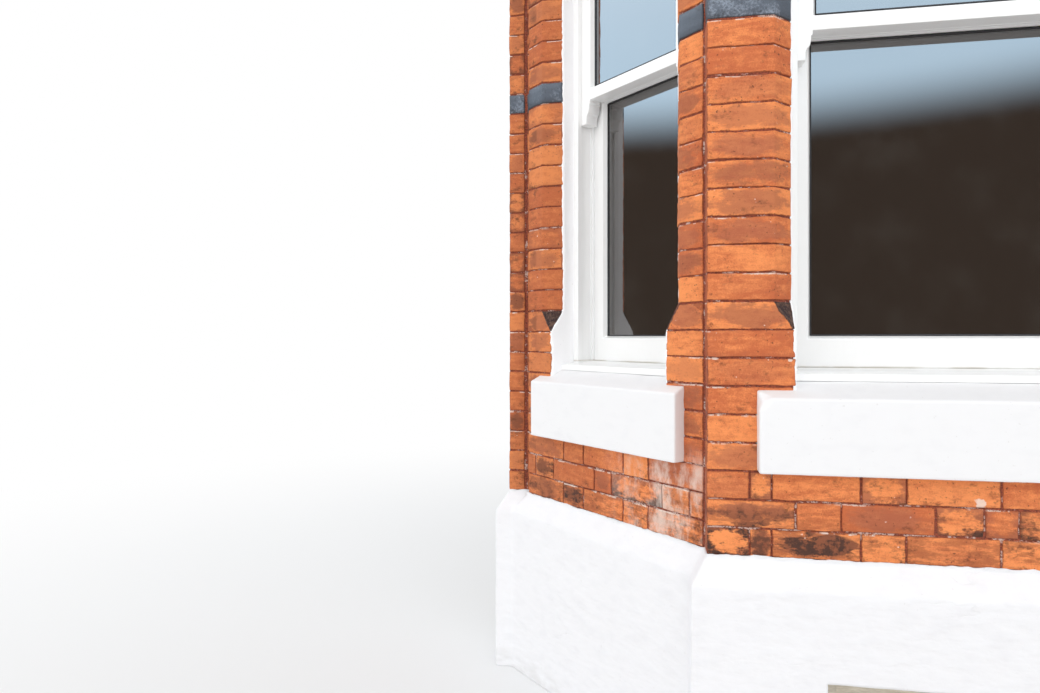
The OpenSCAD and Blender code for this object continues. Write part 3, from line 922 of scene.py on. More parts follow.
@dataclass
class ShapeShelf:
    """The made shapes, as templates for the geometry tree to pick from by number."""

    shapes: list[BrickShape] = field(default_factory=list)
    group: bpy.types.Collection | None = None

    def number(self, shape: BrickShape) -> int:
        """Gives the number of a shape, and adds it if it is new."""
        if self.group is None:
            self.group = bpy.data.collections.new("brick_shapes")
        if shape not in self.shapes:
            self.shapes.append(shape)
            name = f"shape_{len(self.shapes):03d}"
            self.group.objects.link(bpy.data.objects.new(name, shape.mesh(name)))
        return self.shapes.index(shape)

    def clear(self) -> None:
        """Removes the templates once every wall is laid."""
        for template in list(self.group.objects):
            bpy.data.objects.remove(template)
        bpy.data.collections.remove(self.group)


@dataclass
class Brick:
    """One brick in the wall: its shape, the middle of its bed and its turn about the upright."""

    shape: BrickShape
    at: Vector
    turn: float


def masonry_tree() -> bpy.types.NodeTree:
    """Makes the tree that lays templates on points, and wears each one differently."""
    graph, given = geometry_tree("masonry", "Slip", "Tilt", "Wear", "Wear Scale", "Fan", "Fan Foot",
                                 "Fan Rise", Shapes="Collection", Seed="Int")

    def named(name: str, kind: str) -> Term:
        """Reads a stored attribute."""
        return graph.term("GeometryNodeInputNamedAttribute", {"data_type": kind}, {"Name": name})

    def any_way(step: float) -> Term:
        """Gives a random vector for each point."""
        return graph.chance("FLOAT_VECTOR", (-1.0, -1.0, -1.0), (1.0, 1.0, 1.0), given["Seed"] + step)

    moved = graph.shift(given["Geometry"], graph.scaled(any_way(0.0), given["Slip"]))
    turn = graph.combine(z=named("turn", "FLOAT"))
    euler = graph.vector("ADD", turn, graph.scaled(any_way(7.0), given["Tilt"]))
    shapes = graph.term("GeometryNodeCollectionInfo", None,
                        {0: given["Shapes"], "Separate Children": True, "Reset Children": True})
    laid = graph.lay(moved, shapes, euler, {"Pick Instance": True, "Instance Index": named("shape", "INT")})
    for step, label in ((11.0, "tone"), (17.0, "mark")):
        laid = graph.store(laid, label, graph.chance("FLOAT", 0.0, 1.0, given["Seed"] + step))
    real = graph.term("GeometryNodeRealizeInstances", None, {0: laid})
    position = graph.term("GeometryNodeInputPosition")
    lumps = graph.noise(position, given["Wear Scale"]) - 0.5
    worn = graph.shift(real, graph.scaled(graph.term("GeometryNodeInputNormal"), lumps * given["Wear"] * 4.0))
    shake = graph.shake(position, given["Wear Scale"] * 0.8)
    worn = graph.shift(worn, graph.scaled(shake, given["Wear"] * 6.0))
    x, y, z = graph.split(graph.term("GeometryNodeInputPosition"))
    fanned = x * (1.0 + given["Fan"] * ((z - given["Fan Foot"]) / given["Fan Rise"]))
    out = graph.term("GeometryNodeSetPosition", None,
                     {"Geometry": worn, "Position": graph.combine(fanned, y, z)})
    return finish_tree(graph, out, given["Finish"])


@dataclass
class Bond:
    """The rows of brick on one face, as widths with their joint from its left end to its right."""

    side: Side

    def row(self, course: int) -> list[Span]:
        """Gives the spans of one course along the face."""
        half = self.side.half_length
        if self.side is Side.FRONT:
            widths = [247, 122, 246, 122, 85, 122, 246, 122, 247] if course % 2 else [
                121.5, 61, 239.5, 118, 239.5, 239.5, 118, 239.5, 61, 121.5]
        elif self.side in (Side.LEFT, Side.RIGHT):
            widths = [58, 115, 239, 88, 239, 115, 58] if course % 2 else [235, 117.5, 207, 117.5, 235]
        else:
            face, gap = PLAN.strip_face, PLAN.strip_gap
            spans = [(-half, face - half), (face + gap - half, half)]
            if self.side is Side.STRIP_RIGHT:
                spans = [(-end, -start) for start, end in reversed(spans)]
            return spans
        scale = 2000 * half / sum(widths)
        edges = np.cumsum([0.0, *widths]) * scale / 1000 - half
        return list(zip(edges[:-1], edges[1:]))


INWARD = (Vector((0, 1, 0)), Vector((0.7071, 0.7071, 0)), Vector((-0.7071, 0.7071, 0)))


@dataclass
class BrickWall:
    """A node of the brickwork: recessed mortar, plaster inside, and every brick laid on its face.

    A flat arch names the face whose window it spans, and its bricks are fanned out there. Mortar lies
    core_depth behind the brick, and square_depths times as deep at the square end of a canted wall. No corner
    of the core moves by more than most_depths times core_depth.
    """

    node: str
    finish: Finish = FINISH.brick
    slot: str = "brick"
    seed: int = 1
    bricks: list[Brick] = field(default_factory=list)
    arch_side: Side | None = None
    depth_mm: int = 100
    strip_depth_mm: int = 156
    least_mm: int = 18
    core_depth: float = 0.0035
    square_depths: float = 3.0
    most_depths: float = 4.0
    corner_joint: float = 0.005
    slip: float = 0.0011
    tilt: float = 0.006
    wear: float = 0.0011
    wear_scale: float = 34.0

    def lay(self, side: Side, span: Span, course_z: float, cut: Cut = Cut.SQUARE, hand: int = 1) -> None:
        """Adds one brick to the wall.

        Args:
            side: The face that it lies on.
            span: Its ends with half a joint at each, along the face.
            course_z: The bottom of its course.
            cut: How its cut end is made.
            hand: Which end is cut.
        """
        if side in (Side.LEFT, Side.RIGHT):
            half = side.half_length - self.corner_joint
            span = (max(span[0], -half), min(span[1], half))
        width = round((span[1] - span[0] - PLAN.joint) * 1000)
        if width < self.least_mm:
            return
        place = side.matrix()
        at = place @ Vector(((span[0] + span[1]) / 2, 0.0, course_z + PLAN.joint / 2))
        depth = self.strip_depth_mm if side in (Side.STRIP_LEFT, Side.STRIP_RIGHT) else self.depth_mm
        self.bricks.append(Brick(BrickShape(width, cut, hand, depth_mm=depth), at, place.to_euler().z))

    @staticmethod
    def inner(normal: Vector) -> bool:
        """Tells whether a face looks into the room."""
        return any(normal.dot(way) > 0.9 for way in INWARD)

    @staticmethod
    def square_end(face: bmesh.types.BMFace) -> bool:
        """Tells whether a face is the square end of a canted wall, by the strip."""
        normal, middle = face.normal, face.calc_center_median()
        outer = abs(middle.x) > -PLAN.cant_end[0] - PLAN.nib
        return outer and 0.6 < abs(normal.x) < 0.8 and normal.y > 0.6 and normal.x * middle.x > 0

    def advance(self, face: bmesh.types.BMFace, way_out: Vector | None) -> float:
        """Gives how far a core's face moves out; way_out is its front, if its ends meet other brickwork."""
        normal = face.normal
        if self.square_end(face):
            return -self.square_depths * self.core_depth
        if way_out is not None and abs(normal.z) < 0.9 and abs(normal.dot(way_out)) < 0.5:
            return self.core_depth
        held = abs(normal.z) > 0.9 or self.inner(normal) or (normal.y > -0.5 and abs(normal.x) < 0.99)
        return 0.0 if held else -self.core_depth

    def core(self) -> bmesh.types.BMesh:
        """Gives the node's own solid with its outer faces set back to the joints' depth."""
        made = copy_of(self.node)
        between = self.node.startswith(("apron", "arch"))
        way_out = Side(self.node.split("_")[1]).matrix().to_3x3() @ Vector((0, -1, 0)) if between else None
        moves: dict[bmesh.types.BMVert, Vector] = {}
        for vert in made.verts:
            rows: list[list[float]] = []
            goals: list[float] = []
            for face in vert.link_faces:
                if face.calc_area() < 1e-7 or any((Vector(row) - face.normal).length < 0.1 for row in rows):
                    continue
                rows.append(list(face.normal))
                goals.append(self.advance(face, way_out))
            step = Vector(np.linalg.lstsq(np.array(rows), np.array(goals), rcond=0.1)[0])
            moves[vert] = step * min(1.0, self.most_depths * self.core_depth / max(step.length, 1e-9))
        for face in made.faces:
            face.material_index = 2 if self.inner(face.normal) and not self.square_end(face) else 1
        for vert, move in moves.items():
            vert.co += move
        return made

    def laid(self, shelf: ShapeShelf, tree: bpy.types.NodeTree) -> bpy.types.Object:
        """Runs the masonry tree on the wall's bricks, and fans an arch's bricks out over its window."""
        mesh = bpy.data.meshes.new("beds")
        mesh.from_pydata([tuple(brick.at) for brick in self.bricks], [], [])
        for name, kind, values in (("shape", "INT", [shelf.number(brick.shape) for brick in self.bricks]),
                                   ("turn", "FLOAT", [brick.turn for brick in self.bricks])):
            mesh.attributes.new(name, kind, "POINT").data.foreach_set("value", values)
        fan, foot, rise = 0.0, 0.0, 1.0
        if self.arch_side:
            fan, foot = PLAN.skew / self.arch_side.window_half, PLAN.level(PLAN.head_course)
            rise = PLAN.arch_courses * PLAN.course
        piece = use_tree(show("beds", mesh), tree, Shapes=shelf.group, Slip=self.slip, Tilt=self.tilt,
                         Wear=self.wear, Wear_Scale=self.wear_scale, Seed=self.seed, Fan=fan, Fan_Foot=foot,
                         Fan_Rise=rise, Finish=self.finish.material())
        if self.arch_side:
            piece.data.transform(self.arch_side.matrix())
        return one_finish(piece, self.finish)

    def build(self, shelf: ShapeShelf, tree: bpy.types.NodeTree) -> bpy.types.Object:
        """Lays the bricks, joins them to the core and hands the wall in.

        Args:
            shelf: The brick templates.
            tree: The masonry tree.

        Returns:
            The finished piece.
        """
        core = to_mesh(self.core(), self.node, self.finish, FINISH.mortar, FINISH.plaster)
        return hand_in(join(show(f"bricks_{self.node}", core), self.laid(shelf, tree)), self.slot, self.node)


PIERS = {
    Side.STRIP_LEFT: ("wall_pier_left", "wall_pier_left"),
    Side.LEFT: ("wall_pier_left", "corner_pier_left"),
    Side.FRONT: ("corner_pier_left", "corner_pier_right"),
    Side.RIGHT: ("corner_pier_right", "wall_pier_right"),
    Side.STRIP_RIGHT: ("wall_pier_right", "wall_pier_right"),
}


@dataclass
class Brickwork:
    """All the walls of the bay."""

    shelf: ShapeShelf = field(default_factory=ShapeShelf)
    walls: dict[str, BrickWall] = field(default_factory=dict)

    def wall(self, node: str) -> BrickWall:
        """Gives the wall that stands for a node."""
        if node not in self.walls:
            blue = node.startswith("blue")
            self.walls[node] = BrickWall(node, FINISH.blue if blue else FINISH.brick,
                                         "blue_brick" if blue else "brick", seed=len(self.walls) * 31 + 5)
        return self.walls[node]

    @staticmethod
    def node_at(side: Side, x: float, course: int) -> str:
        """Names the node of the brickwork below the window heads, at a place on a face."""
        if abs(x) < side.window_half:
            return f"apron_{side.value}"
        pier = PIERS[side][int(x >= 0)]
        if course == PLAN.blue_course:
            return "blue_course_left" if "left" in pier else "blue_course_right"
        return pier

    @staticmethod
    def jamb_cut(course: int) -> Cut:
        """Gives the cut of the jamb bricks in a course."""
        if course < PLAN.stop_course:
            return Cut.SQUARE
        if course == PLAN.stop_course:
            return Cut.STOP_FOOT
        return Cut.STOP_HEAD if course == PLAN.head_course - 1 else Cut.CHAMFER

    def lay_low(self, side: Side) -> None:
        """Lays the aprons and piers of a face, up to the window heads."""
        window, half = side.window_half, side.half_length
        for course in range(PLAN.head_course):
            z = PLAN.level(course)
            if course < PLAN.apron_courses or not window:
                for span in Bond(side).row(course):
                    self.wall(self.node_at(side, (span[0] + span[1]) / 2, course)).lay(side, span, z)
                continue
            for hand in (-1, 1):
                span = (-half, -window + PLAN.joint / 2) if hand < 0 else (window - PLAN.joint / 2, half)
                wall = self.wall(self.node_at(side, hand * half, course))
                wall.lay(side, span, z, self.jamb_cut(course), -hand)

    @staticmethod
    def beside_arch(side: Side, span: Span, step: int) -> Span | None:
        """Gives what is left of a span beside the slanting end of the arch, if anything."""
        edge = side.window_half + PLAN.skew * (step + 0.5) / PLAN.arch_courses
        near, far = sorted((abs(span[0]), abs(span[1])))
        if far <= edge + 0.02:
            return None
        if near >= edge and span[0] * span[1] >= 0:
            return span
        return (-far, -edge) if span[0] < 0 else (edge, far)

    def lay_high(self, side: Side) -> None:
        """Lays the walls over the windows, round the arch and in the frieze."""
        wall = self.wall(f"upper_wall_{side.third}")
        for step in range(PLAN.upper_courses):
            course = PLAN.head_course + step
            for span in Bond(side).row(course):
                if side.window_half and step < PLAN.arch_courses:
                    span = self.beside_arch(side, span, step)
                if span:
                    wall.lay(side, span, PLAN.level(course))
        for course in range(PLAN.frieze_courses):
            for span in Bond(side).row(course):
                wall.lay(side, span, PLAN.frieze + course * PLAN.course)

    @staticmethod
    def arch(side: Side) -> BrickWall:
        """Gives a flat arch, its bricks still upright and of even width."""
        half, rise = side.window_half, PLAN.arch_courses * PLAN.course
        count = PLAN.front_voussoirs if side is Side.FRONT else PLAN.side_voussoirs
        pitch = 2 * half / count
        width = round((pitch - PLAN.joint * 0.7) * 1000)
        long, short = rise * 2 / 3, rise / 3
        wall = BrickWall(f"arch_{side.value}", seed=len(side.value) * 7, arch_side=side, slip=0.0007,
                         tilt=0.003, wear=0.0008)
        for k in range(count):
            z = PLAN.level(PLAN.head_course)
            for height in ((long, short) if k % 2 else (short, long)):
                at = Vector((-half + (k + 0.5) * pitch, 0.0, z + PLAN.joint / 2))
                shape = BrickShape(width, height_mm=round((height - PLAN.joint) * 1000))
                wall.bricks.append(Brick(shape, at, 0.0))
                z += height
        return wall

    def build(self) -> None:
        """Lays every wall and hands them in."""
        tree = masonry_tree()
        for side in Side:
            self.lay_low(side)
            self.lay_high(side)
        walls = [*self.walls.values(), *(self.arch(side) for side in WINDOWED)]
        for wall in walls:
            for brick in wall.bricks:
                self.shelf.number(brick.shape)
        for wall in walls:
            wall.build(self.shelf, tree)
        self.shelf.clear()


# Painted masonry


def lump_tree() -> bpy.types.NodeTree:
    """Makes the tree that raises uneven coats of paint on a surface."""
    graph, given = geometry_tree("paint_lumps", "Depth", "Scale", "Fine Depth", "Fine Scale")
    position = graph.term("GeometryNodeInputPosition")
    coarse, fine = [(graph.noise(position, given[scale], 2.0) - 0.62) * given[depth] * 4.0
                    for depth, scale in (("Depth", "Scale"), ("Fine Depth", "Fine Scale"))]
    offset = graph.scaled(graph.term("GeometryNodeInputNormal"), coarse + fine)
    return finish_tree(graph, graph.shift(given["Geometry"], offset), given["Finish"])


@dataclass
class ThickPaint:
    """A CAD solid under many coats: its arrises soften and its faces get lumps.

    What lies within chip_reach of the chip is knocked in. The sides of an opening waver and its head droops.
    """

    name: str
    nodes: tuple[str, ...]
    finish: Finish
    slot: str
    overrun: float = 0.0
    voxel: float = 0.008
    softening: int = 4
    depth: float = 0.0016
    scale: float = 5.0
    fine_depth: float = 0.0006
    fine_scale: float = 26.0
    chip: Triple | None = None
    chip_reach: float = 0.035
    opening: Triple | None = None
    waver: float = 0.0016
    droop: float = 0.0022

    def block(self, made: bmesh.types.BMesh, past: float, deep: float) -> None:
        """Adds a block the shape of the opening, given as its half width, foot and head.

        Args:
            made: The mesh that it goes into.
            past: How far it is larger than the opening.
            deep: How far it runs past both faces of the wall.
        """
        half, foot, head = self.opening
        front, rear = PLAN.front_y - PLAN.plinth_out - deep, PLAN.front_y + PLAN.wall + deep
        size = Matrix.Diagonal((2 * (half + past), rear - front, head - foot + 2 * past, 1.0))
        middle = Matrix.Translation((0, (front + rear) / 2, (foot + head) / 2))
        bmesh.ops.create_cube(made, size=1.0, matrix=middle @ size)

    def pierce(self, piece: bpy.types.Object) -> None:
        """Cuts the opening through the painted wall, with edges that waver as paint does."""
        chance = random.Random(5)
        made = bmesh.new()
        self.block(made, past=0.0, deep=0.05)
        bmesh.ops.subdivide_edges(made, edges=made.edges, cuts=28, use_grid_fill=True)
        for vert in made.verts:
            shrink = 1.0 - chance.uniform(0.0, self.waver) / self.opening[0]
            vert.co.x *= shrink
            vert.co.z -= (vert.co.z > self.opening[2] - 1e-4) * chance.uniform(0.0, self.droop)
        cutter = show("opening", to_mesh(made, "opening"))
        cut = piece.modifiers.new("opening", "BOOLEAN")
        cut.operation, cut.solver, cut.object = "DIFFERENCE", "EXACT", cutter
        settle(piece)
        bpy.data.objects.remove(cutter)
        one_finish(piece, self.finish)

    def build(self, tree: bpy.types.NodeTree) -> bpy.types.Object:
        """Remeshes the solid, softens it, raises the paint and hands it in."""
        source = weld(*self.nodes)
        if self.opening:
            self.block(source, past=0.02, deep=0.0)
        for vert in source.verts if self.overrun else ():
            if vert.co.z < 1e-3:
                vert.co.z -= self.overrun
            if vert.co.y > PLAN.wall_y - 1e-3:
                vert.co.y += self.overrun
        piece = show(f"painted_{self.name}", to_mesh(source, self.name, self.finish))
        remesh = piece.modifiers.new("coat", "REMESH")
        remesh.mode = "VOXEL"
        remesh.voxel_size = self.voxel * 1.0
        remesh.use_smooth_shade = True
        soft = piece.modifiers.new("soft", "SMOOTH")
        soft.factor = 0.5
        soft.iterations = self.softening
        settle(piece)
        if self.chip:
            spot, push = Vector(self.chip), Vector((0.01, 0.01, -0.01))
            for vert in piece.data.vertices:
                reach = (vert.co - spot).length
                if reach < self.chip_reach:
                    vert.co += push * (1 - reach / self.chip_reach)
        use_tree(piece, tree, Depth=self.depth, Scale=self.scale, Fine_Depth=self.fine_depth,
                 Fine_Scale=self.fine_scale, Finish=self.finish.material())
        if self.overrun:
            cut_away(piece, (Vector((0, 0, 0)), Vector((0, 0, -1))),
                     (Vector((0, PLAN.wall_y, 0)), Vector((0, 1, 0))))
        if self.opening:
            self.pierce(piece)
        return hand_in(piece, self.slot, *self.nodes)


def ribbon(rows: list[list[Vector]], back: Vector) -> bmesh.types.BMesh:
    """Gives a closed skin from a grid of points, thickened by one vector.

    Args:
        rows: Points of the outer surface, row by row.
        back: From each outer point to its inner one.

    Returns:
        The skin as a bmesh with its normals outwards.
    """
    made = bmesh.new()
    outer = [[made.verts.new(p) for p in row] for row in rows]
    inner = [[made.verts.new(p + back) for p in row] for row in rows]
    high, wide = len(rows), len(rows[0])
    for i in range(high - 1):
        for j in range(wide - 1):
            made.faces.new((outer[i][j], outer[i][j + 1], outer[i + 1][j + 1], outer[i + 1][j]))
            made.faces.new((inner[i][j], inner[i + 1][j], inner[i + 1][j + 1], inner[i][j + 1]))
    for i in range(high - 1):
        for j in (0, wide - 1):
            made.faces.new((outer[i][j], outer[i + 1][j], inner[i + 1][j], inner[i][j]))
    for j in range(wide - 1):
        for i in (0, high - 1):
            made.faces.new((outer[i][j], outer[i][j + 1], inner[i][j + 1], inner[i][j]))
    bmesh.ops.recalc_face_normals(made, faces=made.faces)
    for face in made.faces:
        face.smooth = True
    return made


@dataclass
class RevealPaint:
    """White paint on the brick reveals and soffit of one window, with a hand-cut edge.

    It stands that many metres proud of the brick, and only the share thin of it at the cut edge.
    """

    side: Side
    seed: int = 3
    step: float = 0.012
    soffit_step: float = 0.03
    proud: float = 0.0040
    thin: float = 0.15
    skin: float = 0.006
    foot: float = 1.176
    back: float = 0.124

    def edge(self, z: float, chance: random.Random) -> float:
        """Gives how deep the paint starts behind the brick face at a height."""
        stop, head = PLAN.level(PLAN.stop_course), PLAN.level(PLAN.head_course)
        share = min(1.0, max(0.0, (z - stop) / PLAN.course), max(0.0, (head - z) / PLAN.course))
        return PLAN.chamfer * share + 0.002 + chance.uniform(-0.0016, 0.0016)

    def jamb(self, hand: int, chance: random.Random) -> bmesh.types.BMesh:
        """Gives the paint on one jamb."""
        head = PLAN.level(PLAN.head_course)
        count = round((head - self.foot) / self.step)
        wander = 0.0
        rows: list[list[Vector]] = []
        for i in range(count + 1):
            z = self.foot + (head - self.foot) * i / count
            wander = wander * 0.8 + chance.uniform(-0.0009, 0.0009)
            first = self.edge(z, chance) + wander
            row = []
            for j, depth in enumerate((first, first + 0.004, *np.linspace(first + 0.016, self.back, 6))):
                lift = self.proud * (1.0 if j else self.thin) + chance.uniform(-0.0003, 0.0003)
                row.append(Vector((hand * (self.side.window_half - lift), depth, z)))
            rows.append(row)
        return ribbon(rows, Vector((hand * self.skin, 0, 0)))

    def soffit(self, chance: random.Random) -> bmesh.types.BMesh:
        """Gives the paint under the arch."""
        half, head = self.side.window_half, PLAN.level(PLAN.head_course)
        count = round(2 * half / self.soffit_step)
        rows: list[list[Vector]] = []
        for i in range(count + 1):
            x = -half + 2 * half * i / count
            first = 0.003 + chance.uniform(-0.0015, 0.0015)
            rows.append([Vector((x, depth, head - self.proud * (1.0 if j else self.thin)))
                         for j, depth in enumerate((first, first + 0.005, 0.03, 0.06, 0.09, self.back))])
        return ribbon(rows, Vector((0, 0, self.skin)))

    def build(self) -> bpy.types.Object:
        """Makes both jambs and the soffit, and hands the paint in."""
        chance = random.Random(self.seed)
        whole = bmesh.new()
        for part in (self.jamb(-1, chance), self.jamb(1, chance), self.soffit(chance)):
            add_to(whole, part)
        mesh = to_mesh(whole, f"reveal_{self.side.value}", FINISH.reveal)
        mesh.transform(self.side.matrix())
        return hand_in(show(f"reveal_paint_{self.side.value}", mesh), "painted_stone")


def bead_tree() -> bpy.types.NodeTree:
    """Makes the tree that runs a small section along a path, with an uneven outer edge."""
    graph, given = geometry_tree("bead_on_path", "Width", "Height", "Waver", "Waver Scale")
    path = graph.term("GeometryNodeMeshToCurve", None, {0: given["Geometry"]})
    section = graph.term("GeometryNodeCurvePrimitiveQuadrilateral", None,
                         {"Width": given["Width"], "Height": given["Height"]})
    body = graph.term("GeometryNodeCurveToMesh", None,
                      {"Curve": path, "Profile Curve": section, "Fill Caps": True})
    shake = graph.noise(graph.term("GeometryNodeInputPosition"), given["Waver Scale"], 4.0) - 0.5
    out = graph.shift(body, graph.combine(z=shake * given["Waver"] * 4.0))
    return finish_tree(graph, out, given["Finish"])


def path_mesh(name: str, corners: list[Vector], closed: bool, pitch: float) -> bpy.types.Mesh:
    """Gives a mesh of edges through the corners, with a point at least every pitch metres."""
    mesh = bpy.data.meshes.new(name)
    points: list[Vector] = []
    for start, end in zip(corners, corners[1:] + corners[:1] if closed else corners[1:]):
        steps = max(1, math.ceil((end - start).length / pitch))
        points += [start.lerp(end, k / steps) for k in range(steps)]
    points += [] if closed else corners[-1:]
    count = len(points)
    edges = [(i, i + 1) for i in range(count - 1)] + ([(count - 1, 0)] if closed else [])
    mesh.from_pydata([tuple(p) for p in points], edges, [])
    return mesh


@dataclass
class PaintedMasonry:
    """Plinth, sills, string course and cornice."""

    ease: float = 0.0016
    shortest: float = 0.0033
    sill_chip: Triple = (-0.6385, -0.413, 1.172)
    line_drop: float = 0.022

    def build(self) -> None:
        """Builds each painted piece."""
        tree = lump_tree()
        ThickPaint("plinth", ("plinth_left", "plinth_front", "plinth_right"), FINISH.plinth, "plinth",
                   overrun=0.06, voxel=0.0092, softening=2, depth=0.0028, scale=3.0, fine_depth=0.0011,
                   fine_scale=13.0, opening=PLAN.cellar).build(tree)
        for side in WINDOWED:
            name = f"sill_{side.value}"
            ThickPaint(name, (name,), FINISH.stone, "painted_stone", voxel=0.005, softening=2, depth=0.0008,
                       fine_depth=0.0003, chip=self.sill_chip if side is Side.FRONT else None).build(tree)
        self.paint_line(bead_tree())
        for name, nodes in (("string_course", ()),
                            ("cornice", ("cornice_left", "cornice_front", "cornice_right"))):
            bevel_copy(name, FINISH.moulding, "painted_stone", self.ease, *nodes, shortest=self.shortest,
                       seam=PLAN.front_y + PLAN.wall)

    def paint_line(self, tree: bpy.types.NodeTree) -> None:
        """Runs the wavering edge of the plinth's paint along the lowest bricks."""
        z, end = PLAN.plinth_top - self.line_drop, PLAN.cant_end
        left = [(-PLAN.bay_half, PLAN.wall_y), (-PLAN.bay_half, PLAN.strip_y),
                (end[0] + PLAN.nib, PLAN.strip_y), end, PLAN.cant_foot, (-PLAN.front_half, PLAN.front_y)]
        points = [Vector((x, y, z)) for x, y in left] + [Vector((-x, y, z)) for x, y in reversed(left)]
        line = show("plinth_paint_edge", path_mesh("plinth_paint_edge", points, False, 0.008))
        use_tree(line, tree, Width=0.006, Height=0.050, Waver=0.0040, Waver_Scale=30.0,
                 Finish=FINISH.plinth.material())
        for polygon in line.data.polygons:
            polygon.use_smooth = True
        hand_in(line, "plinth")


def bevel_copy(name: str, finish: Finish, slot: str, width: float, *nodes: str,
               shortest: float = 0.0, seam: float | None = None) -> bpy.types.Object:
    """Hands in CAD solids, welded into one, with their sharp edges eased.

    Args:
        name: The piece's name, and the node's where no nodes are given.
        finish: Its finish.
        slot: The record's slot; not used.
        width: The size of the eased edge, in metres.
        nodes: The CAD nodes that are replaced.
        shortest: Edges below this length are closed up first, so that eased edges don't cross.
        seam: For a moulding, the plane across the bay where its solids meet; only its outside is eased.

    Returns:
        The finished piece.
    """
    nodes = nodes or (name,)
    solid = weld(*nodes)
    bmesh.ops.remove_doubles(solid, verts=solid.verts, dist=shortest)
    solid.normal_update()
    weight = solid.edges.layers.float.new("bevel_weight_edge")
    for edge in solid.edges:
        outside = seam is None or (all(face.normal.y < 0.5 for face in edge.link_faces)
                                   and any(abs(vert.co.y - seam) > 1e-3 for vert in edge.verts))
        edge[weight] = float(outside and edge.is_manifold and edge.calc_face_angle(0.0) > math.radians(24))
    piece = show(f"eased_{name}", to_mesh(solid, name, finish, finish))
    bevel = piece.modifiers.new("ease", "BEVEL")
    bevel.width = width
    bevel.segments = 2
    bevel.limit_method = "WEIGHT"
    bevel.use_clamp_overlap = False
    bevel.material = 1
    settle(piece)
    shade(piece)
    return hand_in(one_finish(piece, finish), slot, *nodes)


def shade(piece: bpy.types.Object) -> None:
    """Smooths eased edges, in slot 1, and curved mouldings, and leaves flat faces flat."""
    made = bmesh.new()
    made.from_mesh(piece.data)
    for face in made.faces:
        curved = any(0.02 < edge.calc_face_angle(0.0) < 0.42
                     and all(near.material_index == 0 for near in edge.link_faces) for edge in face.edges)
        face.smooth = face.material_index == 1 or curved
    made.to_mesh(piece.data)
    made.free()


# Windows


@dataclass
class SashWindow:
    """Box frame, sashes, gaskets and panes of one window."""

    side: Side
    glass_in: float = 0.088
    upper_glass_y: float = 0.153
    lower_glass_y: float = 0.220
    lower_foot: float = 1.349
    meeting: float = 2.272
    meeting_height: float = 0.053
    head: float = 3.247
    inset: float = 0.0015
    under_rail: float = 0.0055
    before_glass: float = 0.001

    def gasket(self, name: str, low: float, high: float, glass_y: float, tree: bpy.types.NodeTree) -> None:
        """Runs a black gasket round one pane."""
        half, depth = self.side.window_half - self.glass_in - self.inset, glass_y - self.before_glass
        corners = [Vector((x, depth, z)) for x, z in ((-half, low), (half, low), (half, high), (-half, high))]
        mesh = path_mesh(name, [self.side.matrix() @ p for p in corners], True, 0.5)
        piece = show(f"{name}_{self.side.value}", mesh)
        use_tree(piece, tree, Width=0.006, Height=0.005, Waver=0.0, Waver_Scale=1.0,
                 Finish=FINISH.gasket.material())
        hand_in(piece, "painted_timber")

    def build(self, tree: bpy.types.NodeTree) -> None:
        """Builds the joinery and gaskets, and gives the panes their glass."""
        name = self.side.value
        for part, ease in (("frame", 0.0018), ("upper_sash", 0.0022), ("lower_sash", 0.0022)):
            bevel_copy(f"{part}_{name}", FINISH.timber, "painted_timber", ease)
        self.gasket("upper_gasket", self.meeting + self.meeting_height + self.inset,
                    self.head - self.inset, self.upper_glass_y, tree)
        self.gasket("lower_gasket", self.lower_foot + self.inset, self.meeting - self.under_rail,
                    self.lower_glass_y, tree)
        paint_node(f"glass_{name}", FINISH.pane)
        RevealPaint(self.side, seed=11 + len(name)).build()


def paint_node(node: str, finish: Finish) -> None:
    """Gives a carried-over CAD node its finish."""
    one_finish(frame["nodes"][node], finish)


# Roof


